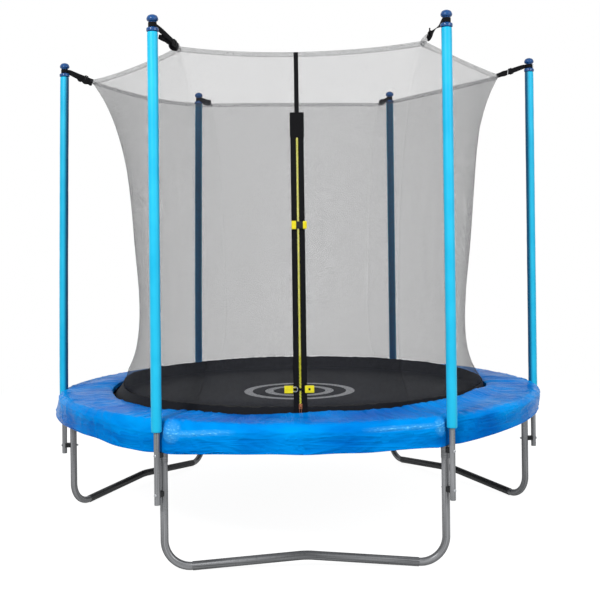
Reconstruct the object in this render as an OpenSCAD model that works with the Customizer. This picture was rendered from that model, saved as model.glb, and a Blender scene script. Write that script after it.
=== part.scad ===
// Round garden trampoline with an inner safety net on six foam-sleeved poles.
// Millimetres, +Z up. The origin is on the ground, under the middle of the mat.
// The door is at the front (-Y). Poles stand every 60 degrees, starting at +X.

/* [Frame ring] */
// Radius of the ring tube's centre line
ring_r = 1198; // [1100:1:1300]
// Outer diameter of the ring tube
ring_d = 38; // [34:0.5:45]
// Height of the ring tube's centre above the ground
ring_z = 596; // [500:1:700]
// Number of springs on each of the six rails
springs_per_rail = 8; // [6:1:9]

/* [Legs] */
// Outer diameter of a leg's uprights and feet
leg_d = 34; // [30:0.5:36]
// Outer diameter of a leg's base tube, which the feet plug into
base_d = 38; // [37:0.5:42]
// Centre-line radius of the bend at each foot
foot_bend_r = 110; // [80:1:150]
// Slope of the base tube from each foot up to the middle, in degrees
base_slope = 4.5; // [2:0.1:8]
// Centre-line radius of the bend in the middle of the base
hump_bend_r = 400; // [200:10:800]
// Height of the lower end of the leg socket
socket_z = 460; // [400:1:500]

/* [Poles] */
// Distance of the pole axes from the middle
pole_r = 1245; // [1242:1:1260]
// Outer diameter of the pole tube
pole_d = 25; // [20:0.5:28]
// Outer diameter of the foam sleeve
foam_d = 46; // [40:1:46]
// Height of the lower end of the poles
pole_low_z = 289; // [200:1:320]
// Height where the two pole sections meet
pole_joint_z = 1290; // [1000:10:1600]
// Height of the lower end of the foam
foam_low_z = 595; // [590:1:620]
// Height of the tops of the pole caps
total_h = 2350; // [2100:5:2600]
// Heights of the lower and the upper pole bolt
bolt_z = [331, 497];

/* [Safety net] */
// Radius at which the pole straps hold the net's upper corners
corner_top_r = 1087; // [1000:1:1150]
// Radius of the net between two corners at its upper edge
side_top_r = 918; // [820:1:930]
// Radius of the net at its waist
waist_r = 871; // [820:1:900]
// Height of the waist
waist_z = 1149; // [900:1:1400]
// Radius of the net's foot, just inside the spring pad
foot_r = 966; // [940:1:968]
// Height of the net's corners
corner_z = 2258; // [2200:1:2290]
// How far the upper edge dips between two corners
edge_dip = 28; // [0:1:60]
// Height of the woven band that joins the net to the mat
band_h = 75; // [40:1:80]

/* [Door] */
// Sideways place of the door's middle line
door_x = -14; // [-30:1:30]
// Radius of the door's side at its upper edge, where its strap pulls it in
door_top_r = 869; // [820:1:930]
// Height of the zip's lower and upper ends
zip_z = [680, 1846];
// Height of the upper end of the black patch over the zip
patch_top_z = 1950; // [1900:1:2000]
// Heights of the lower and the upper clasp
clasp_z = [750, 1461];

/* [Mat and springs] */
// Radius of the mat's woven disc
mat_r = 1003; // [980:1:1003]
// Outer diameter of a spring's coil
spring_d = 20; // [14:0.5:22]

/* [Spring pad] */
// Inner radius of the pad
pad_in_r = 973; // [970:1:980]
// Outer radius of the pad midway between poles
pad_out_r = 1243; // [1235:1:1246]
// Outer radius of the pad where it is pinched behind a pole
pad_pinch_r = 1220.5; // [1220.5:0.1:1221.5]
// Height of the lower edge of the pad's skirt
skirt_z = 527; // [500:1:560]

/* [Hidden] */
POLES = [1, 2, 3, 4, 5, 6];
$fn = 48;

steel = "darkgray";
wall = 1.5;                  // wall of the ring, socket and leg tubes
pole_wall = 1.2;
gap = 0.3;                   // play between neighbours that don't touch
past = 1;                    // how far a cutting tool runs past a face
hair = 0.1;                  // half the hairline between two lengths of bent tube
joint_l = 3;                 // how far a joint ring reaches into each length

// Frame
ring_ro = ring_d / 2;
ring_ri = ring_ro - wall;
leg_ro = leg_d / 2;
leg_ri = leg_ro - wall;
base_ro = base_d / 2;
base_ri = leg_ro + gap;
foot_plug = 40;                           // how far a foot goes into the base tube
socket_ri = leg_ro + gap;
socket_ro = socket_ri + 1.2;
socket_top_z = ring_z - ring_ro - 3;
leg_top_z = socket_top_z - 9;
spigot_ro = ring_ri - 0.2;
spigot_angle = 2.1;
leg_half = ring_r / 2;                    // half the distance between uprights
leg_plane = ring_r * cos(30);             // distance of a leg's plane from Z
bend_x = leg_half - foot_bend_r;
bend_z = (base_ro + foot_bend_r) * cos(base_slope);
slope_x0 = bend_x - foot_bend_r * sin(base_slope);
slope_z0 = bend_z - foot_bend_r * cos(base_slope);
slope_x1 = hump_bend_r * sin(base_slope);
slope_len = (slope_x0 - slope_x1) / cos(base_slope);
hump_z = slope_z0 + slope_len * sin(base_slope) - hump_bend_r * cos(base_slope);

// Poles
pole_ro = pole_d / 2;
pole_ri = pole_ro - pole_wall;
foam_ri = pole_ro + gap;
pole_spigot_h = 60;
bolt_r = 3;
bolt_hole_r = 3.3;
collar_z = total_h - 73;                  // underside of the cap's collar
collar_h = 18;
collar_r = 25.5;
neck_r = 16;
brim_z = total_h - 21;
brim_r = 8.5;
brim_centre_r = 16.8;
dome_r = 20;
cap_bore_top = collar_z + 32;
spacer_w = 22;
spacer_h = 22;

// Springs and mat
spring_step = 60 / springs_per_rail;
mat_z = 600;                              // middle of the mat's thickness
mat_t = 1.6;
wire_r = 1.6;
hook_hole_r = 4;
coil_r0 = 1066;
coil_r1 = 1158;
ring_base_r = mat_r + 11;                 // where a V-ring lies in its tab
ring_apex_r = mat_r + 43;
ring_half = 23;
vwire_r = 2;
tab_w = 30;
eye_r = 6;

// Net
net_t = 1.6;
band_low_z = mat_z + mat_t / 2;
band_top_z = band_low_z + band_h;
net_low_z = band_top_z + 0.5;
hem_h = 22;
hem_t = 3;
foot_power = 4;
door_top_z = corner_z - edge_dip;

// The door's own frame: X across, Y outwards (negated), Z up along the zip
door_lean = atan((foot_r - door_top_r) / (door_top_z - band_top_z));
function up_door(z) = (z - band_top_z) / cos(door_lean);
tape_half = 29.5;
chain_half = 5;
chain_y = [1.9, 4.4];
slider_y = 6.3;
strap_y = [1.9, 3.5];

// ---------------------------------------------------------------- helpers

module tube(ro, ri, h) {
    difference() {
        cylinder(r = ro, h = h);
        translate([0, 0, -past]) cylinder(r = ri, h = h + 2 * past);
    }
}

// A bent tube in the XZ plane, round the origin, from angle a0 to a1
module bent_tube(bend, a0, a1, ro, ri) {
    rotate([90, 0, 0]) rotate([0, 0, a0])
        rotate_extrude(angle = a1 - a0, $fn = 180) translate([bend, 0])
            difference() {
                circle(r = ro);
                circle(r = ri);
            }
}

module at_pole(i) {
    rotate([0, 0, 60 * (i - 1)]) translate([pole_r, 0, 0]) children();
}

module radial_cylinder(r0, r1, z, r) {
    translate([r0, 0, z]) rotate([0, 90, 0]) cylinder(r = r, h = r1 - r0);
}

// A closed solid between two grids of points with the same rows and columns
module slab(front, back) {
    rows = len(front);
    cols = len(front[0]);
    n = rows * cols;
    function at(i, j) = i * cols + j;
    points = [for (grid = [front, back]) for (row = grid) for (p = row) p];
    faces = concat(
        [for (i = [0:rows-2]) for (j = [0:cols-2]) for (f = [
            [at(i, j), at(i+1, j), at(i+1, j+1)],
            [at(i, j), at(i+1, j+1), at(i, j+1)],
            [n + at(i, j), n + at(i+1, j+1), n + at(i+1, j)],
            [n + at(i, j), n + at(i, j+1), n + at(i+1, j+1)]]) f],
        [for (i = [0:rows-2]) for (f = [
            [at(i, 0), n + at(i+1, 0), at(i+1, 0)],
            [at(i, 0), n + at(i, 0), n + at(i+1, 0)],
            [at(i, cols-1), at(i+1, cols-1), n + at(i+1, cols-1)],
            [at(i, cols-1), n + at(i+1, cols-1), n + at(i, cols-1)]]) f],
        [for (j = [0:cols-2]) for (f = [
            [at(0, j), at(0, j+1), n + at(0, j+1)],
            [at(0, j), n + at(0, j+1), n + at(0, j)],
            [at(rows-1, j), n + at(rows-1, j+1), at(rows-1, j+1)],
            [at(rows-1, j), n + at(rows-1, j), n + at(rows-1, j+1)]]) f]);
    polyhedron(points, faces);
}

// A closed ring through sections, each a closed loop of points
module ring_loft(sections) {
    n = len(sections);
    m = len(sections[0]);
    function at(i, j) = (i % n) * m + j % m;
    polyhedron(
        [for (s = sections) for (p = s) p],
        [for (i = [0:n-1]) for (j = [0:m-1]) for (f = [
            [at(i, j), at(i, j+1), at(i+1, j+1)],
            [at(i, j), at(i+1, j+1), at(i+1, j)]]) f]);
}

// ------------------------------------------------------------------ frame

// One sixth of the ring, with its welded leg socket and spring holes.
// Its swaged end goes into the next rail.
module rail() {
    color(steel) difference() {
        union() {
            translate([0, 0, ring_z]) rotate([0, 0, -30])
                rotate_extrude(angle = 60, $fn = 180) translate([ring_r, 0]) circle(r = ring_ro);
            translate([0, 0, ring_z]) rotate([0, 0, 29.5])
                rotate_extrude(angle = 0.5 + spigot_angle, $fn = 180)
                    translate([ring_r, 0]) circle(r = spigot_ro);
            translate([ring_r, 0, socket_z]) cylinder(r = socket_ro, h = ring_z - socket_z);
        }
        translate([0, 0, ring_z]) rotate([0, 0, -31])
            rotate_extrude(angle = 60, $fn = 180) translate([ring_r, 0]) circle(r = ring_ri);
        translate([0, 0, ring_z]) rotate([0, 0, 28])
            rotate_extrude(angle = 5, $fn = 180) translate([ring_r, 0]) circle(r = spigot_ro - wall);
        translate([ring_r, 0, socket_z - past])
            cylinder(r = socket_ri, h = socket_top_z - socket_z + past);
        radial_cylinder(ring_r - 40, ring_r + 40, bolt_z[1], bolt_hole_r);
        for (k = [0 : springs_per_rail - 1])
            rotate([0, 0, (k + 0.5) * spring_step - 30])
                radial_cylinder(ring_r - 30, ring_r - 10, mat_z, hook_hole_r);
    }
}

// Thin ring inside a tube's wall that carries one length over to the next
module joint_ring(ro, ri) {
    translate([0, 0, -joint_l]) tube(ro - 0.4, ri + 0.4, 2 * joint_l);
}

// A straight length of tube, a hair short at both ends
module straight(ro, ri, l) {
    translate([0, 0, hair]) tube(ro, ri, l - 2 * hair);
}

// One foot's half of a leg: upright, foot bend, and base tube up to the middle.
// The foot's end is fastened inside the base tube
module leg_half_tube() {
    translate([leg_half, 0, bend_z]) {
        straight(leg_ro, leg_ri, leg_top_z - bend_z);
        joint_ring(leg_ro, leg_ri);
    }
    translate([bend_x, 0, bend_z])
        bent_tube(foot_bend_r, -90 - base_slope, 0, leg_ro, leg_ri);
    translate([slope_x1, 0, slope_z0 + slope_len * sin(base_slope)])
        rotate([0, 90 + base_slope, 0]) {
            straight(base_ro, base_ri, slope_len);
            joint_ring(base_ro, base_ri);
            translate([0, 0, slope_len]) joint_ring(leg_ro, leg_ri);
            translate([0, 0, slope_len - foot_plug]) {
                straight(leg_ro, leg_ri, foot_plug);
                translate([0, 0, foot_plug / 2]) tube(base_ri + 0.6, leg_ro - 0.6, joint_l);
            }
        }
}

// A leg under two neighbouring poles, with the middle of its base raised
module leg(middle) {
    color(steel) rotate([0, 0, middle - 270]) difference() {
        translate([0, -leg_plane, 0]) union() {
            leg_half_tube();
            mirror([1, 0, 0]) leg_half_tube();
            translate([0, 0, hump_z])
                bent_tube(hump_bend_r, 90 - base_slope, 90 + base_slope, base_ro, base_ri);
        }
        for (side = [240, 300]) rotate([0, 0, side]) for (z = bolt_z)
            radial_cylinder(ring_r - 40, ring_r + 40, z, bolt_hole_r);
    }
}

// ------------------------------------------------------------------ poles

module pole_lower(i) {
    color(steel) at_pole(i) difference() {
        union() {
            translate([0, 0, pole_low_z])
                cylinder(r = pole_ro, h = pole_joint_z - pole_low_z);
            translate([0, 0, pole_joint_z - 4])
                cylinder(r = pole_ri - 0.2, h = pole_spigot_h + 4);
        }
        translate([0, 0, pole_low_z - past])
            cylinder(r = pole_ri, h = pole_joint_z - pole_low_z - 4 + past);
        translate([0, 0, pole_joint_z - 10])
            cylinder(r = pole_ri - 0.2 - pole_wall, h = pole_spigot_h + 20);
        for (z = bolt_z) radial_cylinder(-20, 20, z, bolt_hole_r);
    }
}

module pole_upper(i) {
    color(steel) at_pole(i) translate([0, 0, pole_joint_z])
        tube(pole_ro, pole_ri, cap_bore_top - 2 - pole_joint_z);
}

module foam_sleeve(i) {
    color("deepskyblue") at_pole(i) translate([0, 0, foam_low_z])
        tube(foam_d / 2, foam_ri, collar_z - gap - foam_low_z);
}

// A pushed-on cap: collar over the foam's end, neck for the strap, domed head
module pole_cap() {
    difference() {
        union() {
            translate([0, 0, collar_z]) cylinder(r = collar_r, h = collar_h - 3);
            translate([0, 0, collar_z + collar_h - 3])
                cylinder(r1 = collar_r, r2 = collar_r - 3, h = 3);
            translate([0, 0, collar_z]) cylinder(r = neck_r, h = brim_z - collar_z);
            translate([0, 0, brim_z]) rotate_extrude()
                translate([brim_centre_r, 0]) circle(r = brim_r);
            translate([0, 0, total_h - dome_r]) sphere(r = dome_r);
        }
        translate([0, 0, collar_z - past])
            cylinder(r = foam_ri, h = cap_bore_top - collar_z + past);
    }
}

module pole_caps() {
    color("royalblue") for (i = POLES) at_pole(i) pole_cap();
}

function tube_face(z) = ring_r - (z > socket_z ? socket_ro : leg_ro);

// Carriage bolts from outside the pole, through spacer and leg
module pole_bolts() {
    tip = 9;                              // how far a bolt stands out inside the leg
    head_r = 7;
    color("silver") for (i = POLES) for (z = bolt_z) rotate([0, 0, 60 * (i - 1)]) {
        radial_cylinder(tube_face(z) - tip, pole_r + pole_ro, z, bolt_r);
        translate([pole_r + pole_ro, 0, z]) rotate([0, 90, 0]) {
            cylinder(r = head_r, h = 1.5);
            translate([0, 0, 1.5]) cylinder(r1 = head_r, r2 = head_r - 3, h = 2);
        }
    }
}

module pole_nuts() {
    nut_h = 5;
    color("silver") for (i = POLES) for (z = bolt_z) rotate([0, 0, 60 * (i - 1)])
        difference() {
            translate([tube_face(z) - nut_h - 0.1, 0, z]) rotate([0, 90, 0])
                cylinder(r = 5.8, h = nut_h, $fn = 6);
            radial_cylinder(tube_face(z) - 20, tube_face(z) + 5, z, bolt_r + 0.2);
        }
}

// Plastic saddles that keep each pole parallel to its leg
module pole_spacers() {
    color("black") for (i = POLES) for (z = bolt_z) rotate([0, 0, 60 * (i - 1)])
        difference() {
            translate([ring_r + 8, -spacer_w / 2, z - spacer_h / 2])
                cube([pole_r - ring_r - 12, spacer_w, spacer_h]);
            translate([ring_r, 0, z - spacer_h])
                cylinder(r = ring_r - tube_face(z) + 0.1, h = 2 * spacer_h);
            translate([pole_r, 0, z - spacer_h]) cylinder(r = pole_ro + 0.1, h = 2 * spacer_h);
            radial_cylinder(ring_r, pole_r, z, bolt_hole_r);
        }
}

// ----------------------------------------------------------- corner straps

strap_z = collar_z + collar_h + 10.5;
strap_h = 18;
strap_t = 3;
strap_bend = 27;                          // level as far as this from the axis
strap_fall = atan((strap_z - corner_z) / (pole_r - corner_top_r - strap_bend));
strap_len = (pole_r - corner_top_r - strap_bend - 2) / cos(strap_fall);
buckle_at = 96;

// Places its children in the strap's own frame: X along it, Z across it
module on_strap(i) {
    at_pole(i) translate([-strap_bend, 0, strap_z]) rotate([0, strap_fall, 180])
        children();
}

// Webbing from a loop round the cap's neck to a corner of the net
module corner_strap(i) {
    color("black") {
        at_pole(i) {
            translate([0, 0, strap_z - strap_h / 2])
                tube(neck_r + gap + 2, neck_r + gap, strap_h);
            translate([-strap_bend - 1, -strap_t / 2, strap_z - strap_h / 2])
                cube([strap_bend - neck_r, strap_t, strap_h]);
        }
        on_strap(i) {
            translate([0, -strap_t / 2, -strap_h / 2]) cube([strap_len, strap_t, strap_h]);
            translate([70, -0.8, 0]) rotate([0, 130, 0]) cube([48, 1.6, 15]);
        }
    }
}

// Plastic keepers that lock the straps
module strap_buckles() {
    color("black") for (i = POLES) on_strap(i) translate([buckle_at, 0, 0]) difference() {
        translate([0, -5, -14]) cube([22, 10, 28]);
        translate([-past, -strap_t / 2 - 0.7, -strap_h / 2 - 0.7])
            cube([22 + 2 * past, strap_t + 1.4, strap_h + 1.4]);
    }
}

// -------------------------------------------------------------------- net

function above(z) = (z - waist_z) / (corner_z - waist_z);
function below(z) = (waist_z - z) / (waist_z - band_top_z);
function foot_flare(z) = (foot_r - waist_r) * pow(max(0, below(z)), foot_power);
// Distance of a corner from the axis: drawn out to the pole straps
function corner_r(z) = z < waist_z ? waist_r + foot_flare(z)
    : waist_r + (corner_top_r - waist_r) * (0.7 * pow(above(z), 2) + 0.3 * pow(above(z), 8));
// Distance of the net's sides midway between corners
function side_r(z) = z < waist_z ? waist_r + foot_flare(z)
    : waist_r + (side_top_r - waist_r) * above(z);
// The door's side is straight, because its strap and zip are under tension
function door_r(z) = foot_r - (z - band_top_z) * tan(door_lean);
function edge_z(t) = corner_z - edge_dip * (1 - t * t);

// Point on a side. x runs along the side and out along its middle line
function side_point(middle, x, z, out) =
    let (r = (middle == 270 ? door_r(z) : side_r(z)),
         c = corner_r(z),
         t = 2 * x / c,
         y = r + (c * cos(30) - r) * t * t + out)
    [y * cos(middle) - x * sin(middle), y * sin(middle) + x * cos(middle), z];

// Beside the zip each half starts at the tape, above the patch at the middle
function door_edge_x(hand, z) =
    door_x + hand * (z < patch_top_z - 3 ? tape_half + 0.5 : 0.4);

// Share of the half side that a door half's point at share u has at the hem
function door_share(hand, u) =
    let (half = corner_r(door_top_z) / 2,
         x0 = door_edge_x(hand, door_top_z))
    (x0 + u * (hand * half - x0)) / half;

// Grid of points over a side at shares u across and v up. A whole panel has hand 0
// and u from -1 to 1. A door half has u from 0 at the zip to 1 at its corner
function net_grid(middle, hand, shares, levels, out) =
    [for (v = levels) [for (u = shares)
        let (top = edge_z(hand == 0 ? u : door_share(hand, u)) - hem_h - gap,
             z = net_low_z + v * (top - net_low_z),
             half = corner_r(z) / 2 - 0.4,
             x0 = hand == 0 ? 0 : door_edge_x(hand, z),
             reach = hand == 0 ? half : hand * half - x0)
        side_point(middle, x0 + u * reach, z, out)]];

module net_sheet(middle, hand, shares, levels) {
    color("gray", 0.5) slab(net_grid(middle, hand, shares, levels, net_t),
                            net_grid(middle, hand, shares, levels, 0));
}

panel_steps = 8;
panel_levels = 14;
panel_middles = [30, 90, 150, 210, 330];
door_steps = 5;
patch_share = (patch_top_z - net_low_z) / (door_top_z - hem_h - net_low_z);
door_levels = concat([for (k = [0:10]) k / 10 * (patch_share - 0.005)],
                     [for (k = [0:4]) patch_share + k / 4 * (1 - patch_share)]);

module net_panel(k) {
    net_sheet(panel_middles[k - 1], 0,
              [for (j = [0:panel_steps]) 2 * j / panel_steps - 1],
              [for (j = [0:panel_levels]) j / panel_levels]);
}

module net_door(hand) {
    net_sheet(270, hand,
              [for (j = [0:door_steps]) hand > 0 ? j / door_steps : 1 - j / door_steps],
              door_levels);
}

// The doubled upper edge of the net, from corner to corner all round
module net_top_hem() {
    function hem_point(middle, t, down, out) =
        let (z = edge_z(t) - down)
        side_point(middle, t * corner_r(z) / 2, z, out);
    function hem_section(middle, t) =
        [hem_point(middle, t, hem_h, -0.7), hem_point(middle, t, hem_h, hem_t - 0.7),
         hem_point(middle, t, 0, hem_t - 0.7), hem_point(middle, t, 0, -0.7)];
    steps = 8;
    color("gray") ring_loft([for (middle = [30 : 60 : 330])
        for (j = [0 : steps - 1]) hem_section(middle, 2 * j / steps - 1)]);
}

// Woven band round the net's foot. Its flange is sewn down on the mat
module net_bottom_band() {
    flange = 22;
    color("black") rotate_extrude($fn = 180) polygon([
        [foot_r - flange, band_low_z], [foot_r + 1.5, band_low_z], [foot_r + 1.5, band_top_z],
        [foot_r - 1.5, band_top_z], [foot_r - 1.5, band_low_z + 2],
        [foot_r - flange, band_low_z + 2]]);
}

// ------------------------------------------------------------------- door

// Places its children on the door: X across, -Y outwards, Z along the zip
module on_door() {
    translate([door_x, -foot_r, band_top_z]) rotate([-door_lean, 0, 0]) children();
}

// A block from x0 to x1, standing out from y0 to y1, from z0 to z1
module door_block(x, y, z) {
    translate([x[0], -y[1], z[0]]) cube([x[1] - x[0], y[1] - y[0], z[1] - z[0]]);
}

module zip_tape() {
    color("black") on_door() for (x = [[-tape_half, -2.6], [2.6, tape_half]])
        door_block(x, [0, net_t], [2, up_door(patch_top_z) - 10]);
}

module zip_chain() {
    color("khaki") on_door()
        door_block([-chain_half, chain_half], chain_y, [up_door(zip_z[0]), up_door(zip_z[1]) - 2]);
}

// Slider that straddles the chain, and its pull
module zip_slider() {
    low = up_door(zip_z[0]) - 14;
    inner = chain_half + 0.5;
    color("brown") on_door() {
        door_block([-inner - 2, inner + 2], [chain_y[1] + 0.4, slider_y], [low, low + 22]);
        for (x = [[-inner - 2, -inner], [inner, inner + 2]])
            door_block(x, [chain_y[0], slider_y], [low, low + 22]);
        door_block([-3.5, 3.5], [chain_y[1] + 0.4, slider_y], [low - 18, low + 1]);
    }
}

// Webbing from the zip to the net's upper edge, with a sewn patch
module door_strap() {
    patch_low = up_door(zip_z[1]);
    patch_high = up_door(patch_top_z);
    color("black") on_door() {
        door_block([-31, 31], strap_y, [patch_low, patch_high]);
        door_block([-10, 10], strap_y, [patch_high - 1, up_door(door_top_z - hem_h) - 2]);
    }
}

// A clasp's socket: a block with a pocket for the tongue, sewn on by a tab
module clasp_socket(z, x, half_h, slot_h, tab) {
    color("gold") on_door() translate([0, 0, up_door(z)]) {
        difference() {
            door_block(x, [net_t, 13], [-half_h, half_h]);
            door_block([x[0] + 4, x[1] + 1], [7.4, 11.2], [-slot_h, slot_h]);
        }
        door_block(tab, [net_t, net_t + 2], [-10, 10]);
    }
}

// The tongue's webbing crosses over the zip from its own block
module clasp_tongue(z, x, reach, half_h, tongue_h) {
    color("gold") on_door() translate([0, 0, up_door(z)]) {
        door_block(x, [2.2, 12.6], [-half_h, half_h]);
        door_block([reach, x[0] + 1], [8, 10.6], [-tongue_h, tongue_h]);
    }
}

// --------------------------------------------------------- mat and springs

module mat() {
    color("black") translate([0, 0, mat_z - mat_t / 2])
        cylinder(r = mat_r, h = mat_t, $fn = 180);
}

module every_spring() {
    for (k = [0 : 6 * springs_per_rail - 1]) rotate([0, 0, (k + 0.5) * spring_step]) children();
}

// Sewn edge under the mat, and a webbing tab round each V-ring
module mat_edge_band() {
    color("black") {
        translate([0, 0, mat_z - mat_t / 2 - 2]) rotate_extrude($fn = 180)
            translate([mat_r - 35, 0]) square([35, 2]);
        every_spring() difference() {
            translate([mat_r - 4, -tab_w / 2, mat_z - 3.6]) cube([19, tab_w, 7.2]);
            translate([mat_r - 5, -tab_w / 2 - past, mat_z - mat_t / 2])
                cube([5.2, tab_w + 2 * past, 10]);
            translate([ring_base_r, tab_w, mat_z]) rotate([90, 0, 0])
                cylinder(r = vwire_r + 0.2, h = 2 * tab_w);
        }
    }
}

module wire(a, b, r) {
    d = b - a;
    translate(a) rotate([0, acos(d[2] / norm(d)), atan2(d[1], d[0])])
        cylinder(r = r, h = norm(d), $fn = 24);
}

// Triangular steel rings that link the mat's tabs to the springs
module v_rings() {
    corners = [[ring_base_r, -ring_half, mat_z], [ring_base_r, ring_half, mat_z],
               [ring_apex_r, 0, mat_z]];
    color("silver") every_spring() {
        for (k = [0:2]) {
            wire(corners[k], corners[(k + 1) % 3], vwire_r);
            translate(corners[k]) sphere(r = vwire_r + 0.15, $fn = 24);
        }
    }
}

// Each coil stands in as a plain sleeve, with its eye and its hook
module springs() {
    eye_x = ring_apex_r - 0.5;
    hook_x = ring_r - ring_ri + 5;
    color("silver") every_spring() {
        translate([coil_r0, 0, mat_z]) rotate([0, 90, 0]) difference() {
            cylinder(r = spring_d / 2, h = coil_r1 - coil_r0);
            translate([0, 0, 3])
                cylinder(r = spring_d / 2 - 3, h = coil_r1 - coil_r0 - 6);
        }
        translate([eye_x, 0, mat_z]) rotate([90, 0, 0]) rotate_extrude()
            translate([eye_r, 0]) circle(r = wire_r, $fn = 24);
        radial_cylinder(eye_x + eye_r, coil_r0 + 1, mat_z, wire_r + 0.1);
        radial_cylinder(coil_r1 - 1, hook_x, mat_z, wire_r + 0.1);
        translate([hook_x, 0, mat_z - 9]) cylinder(r = wire_r, h = 9, $fn = 24);
    }
}

// ------------------------------------------------------------------- pad

// Outer radius at an angle from the nearest pole: pinched in behind it
pinch_width = 35;
function pad_edge(angle) =
    let (s = pad_out_r * angle * PI / 180 / pinch_width)
    pad_out_r - (pad_out_r - pad_pinch_r) * exp(-s * s);

// Section from the inner edge over the crown, round the roll and down the skirt
function pad_section(edge) = [
    [pad_in_r, 621], [pad_in_r + 1, 641], [1040, 649], [edge - 70, 647],
    [edge - 14, 638], [edge, 614], [edge - 1, skirt_z], [edge - 3, skirt_z],
    [edge - 3, 612], [edge - 22, 619]];

// Six panels in one cover. The sections stand closer together by the poles
module spring_pad() {
    steps = 10;
    crowd = 2.2;
    color("dodgerblue") ring_loft([for (i = POLES) for (k = [-steps : steps - 1])
        let (share = k / steps,
             swing = 30 * sign(share) * pow(abs(share), crowd),
             a = 60 * (i - 1) + swing)
        [for (p = pad_section(pad_edge(swing))) [p[0] * cos(a), p[0] * sin(a), p[1]]]]);
}

// ------------------------------------------------------------------- nodes

rotate([0, 0, 0]) rail();  // rail_1
rotate([0, 0, 60]) rail();  // rail_2
rotate([0, 0, 120]) rail();  // rail_3
rotate([0, 0, 180]) rail();  // rail_4
rotate([0, 0, 240]) rail();  // rail_5
rotate([0, 0, 300]) rail();  // rail_6
leg(270);  // leg_front
leg(30);  // leg_right
leg(150);  // leg_left
pole_lower(1);  // pole_lower_1
pole_lower(2);  // pole_lower_2
pole_lower(3);  // pole_lower_3
pole_lower(4);  // pole_lower_4
pole_lower(5);  // pole_lower_5
pole_lower(6);  // pole_lower_6
pole_upper(1);  // pole_upper_1
pole_upper(2);  // pole_upper_2
pole_upper(3);  // pole_upper_3
pole_upper(4);  // pole_upper_4
pole_upper(5);  // pole_upper_5
pole_upper(6);  // pole_upper_6
foam_sleeve(1);  // foam_sleeve_1
foam_sleeve(2);  // foam_sleeve_2
foam_sleeve(3);  // foam_sleeve_3
foam_sleeve(4);  // foam_sleeve_4
foam_sleeve(5);  // foam_sleeve_5
foam_sleeve(6);  // foam_sleeve_6
pole_caps();
pole_bolts();
pole_nuts();
pole_spacers();
corner_strap(1);  // corner_strap_1
corner_strap(2);  // corner_strap_2
corner_strap(3);  // corner_strap_3
corner_strap(4);  // corner_strap_4
corner_strap(5);  // corner_strap_5
corner_strap(6);  // corner_strap_6
strap_buckles();
net_panel(1);  // net_panel_1
net_panel(2);  // net_panel_2
net_panel(3);  // net_panel_3
net_panel(4);  // net_panel_4
net_panel(5);  // net_panel_5
net_door(-1);  // net_door_left
net_door(1);  // net_door_right
net_top_hem();
net_bottom_band();
zip_tape();
zip_chain();
zip_slider();
door_strap();
clasp_socket(clasp_z[1], [-29, -9], 18, 14, [-28, -9]);  // clasp_upper_socket
clasp_tongue(clasp_z[1], [21, 38], -24, 17, 13.4);  // clasp_upper_tongue
clasp_socket(clasp_z[0], [-69, -31], 16, 6, [-34, -20]);  // clasp_lower_socket
clasp_tongue(clasp_z[0], [20, 60], -58, 16, 5);  // clasp_lower_tongue
mat();
mat_edge_band();
v_rings();
springs();
spring_pad();
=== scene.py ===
# %% [markdown]
# # A garden trampoline with a safety net
# The imported CAD model is the frame of this scene: every piece below is made in the same
# place, in metres, and most ride on one of its bodies. The CAD's own solids stay for physics.
# Most of them are replaced here by finer pieces, worked out with numpy in millimetres.

# %% Load the frame
import math

import bmesh
import bpy
import numpy as np
from mathutils import Matrix, Vector


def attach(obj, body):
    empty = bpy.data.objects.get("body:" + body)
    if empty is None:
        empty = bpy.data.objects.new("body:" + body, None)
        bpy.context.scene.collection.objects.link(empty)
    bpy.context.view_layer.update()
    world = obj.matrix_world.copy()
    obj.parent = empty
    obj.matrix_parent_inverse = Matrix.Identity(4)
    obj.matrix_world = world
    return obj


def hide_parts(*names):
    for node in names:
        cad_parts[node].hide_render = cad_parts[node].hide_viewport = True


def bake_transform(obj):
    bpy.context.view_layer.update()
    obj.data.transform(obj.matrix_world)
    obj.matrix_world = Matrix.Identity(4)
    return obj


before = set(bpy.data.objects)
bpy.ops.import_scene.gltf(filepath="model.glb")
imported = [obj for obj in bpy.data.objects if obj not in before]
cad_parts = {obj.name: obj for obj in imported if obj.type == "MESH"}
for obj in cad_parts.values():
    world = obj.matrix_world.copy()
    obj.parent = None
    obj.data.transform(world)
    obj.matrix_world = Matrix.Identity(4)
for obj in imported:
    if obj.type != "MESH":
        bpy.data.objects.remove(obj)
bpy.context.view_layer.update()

MM = 0.001
SCENE = bpy.context.scene

# %% [markdown]
# ## Tools for materials
# Colours are written as the hex values that a paint program shows. A shader wants linear
# light, so one function converts them. One more function adds a node: it takes the values
# and links of its sockets, which keeps each material readable from top to bottom.

# %% Colours and nodes
def linear(hex_colour):
    """Linear RGBA of an sRGB hex colour: a channel c becomes c / 12.92 up to 0.04045,
    and ((c + 0.055) / 1.055) to the power 2.4 above that."""
    c = np.array([int(hex_colour[i:i + 2], 16) / 255 for i in (1, 3, 5)])
    c = np.where(c <= 0.04045, c / 12.92, ((c + 0.055) / 1.055) ** 2.4)
    return (float(c[0]), float(c[1]), float(c[2]), 1.0)


def add(tree, kind, inputs=None, **settings):
    """Adds a node of this kind. inputs maps a socket to a value, to another node's output, or to
    a node, which stands for its first output."""
    made = tree.nodes.new("ShaderNode" + kind)
    for name, value in settings.items():
        setattr(made, name, value)
    for socket, value in (inputs or {}).items():
        value = value.outputs[0] if isinstance(value, bpy.types.Node) else value
        if isinstance(value, bpy.types.NodeSocket):
            tree.links.new(value, made.inputs[socket])
        else:
            made.inputs[socket].default_value = value
    return made


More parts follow.
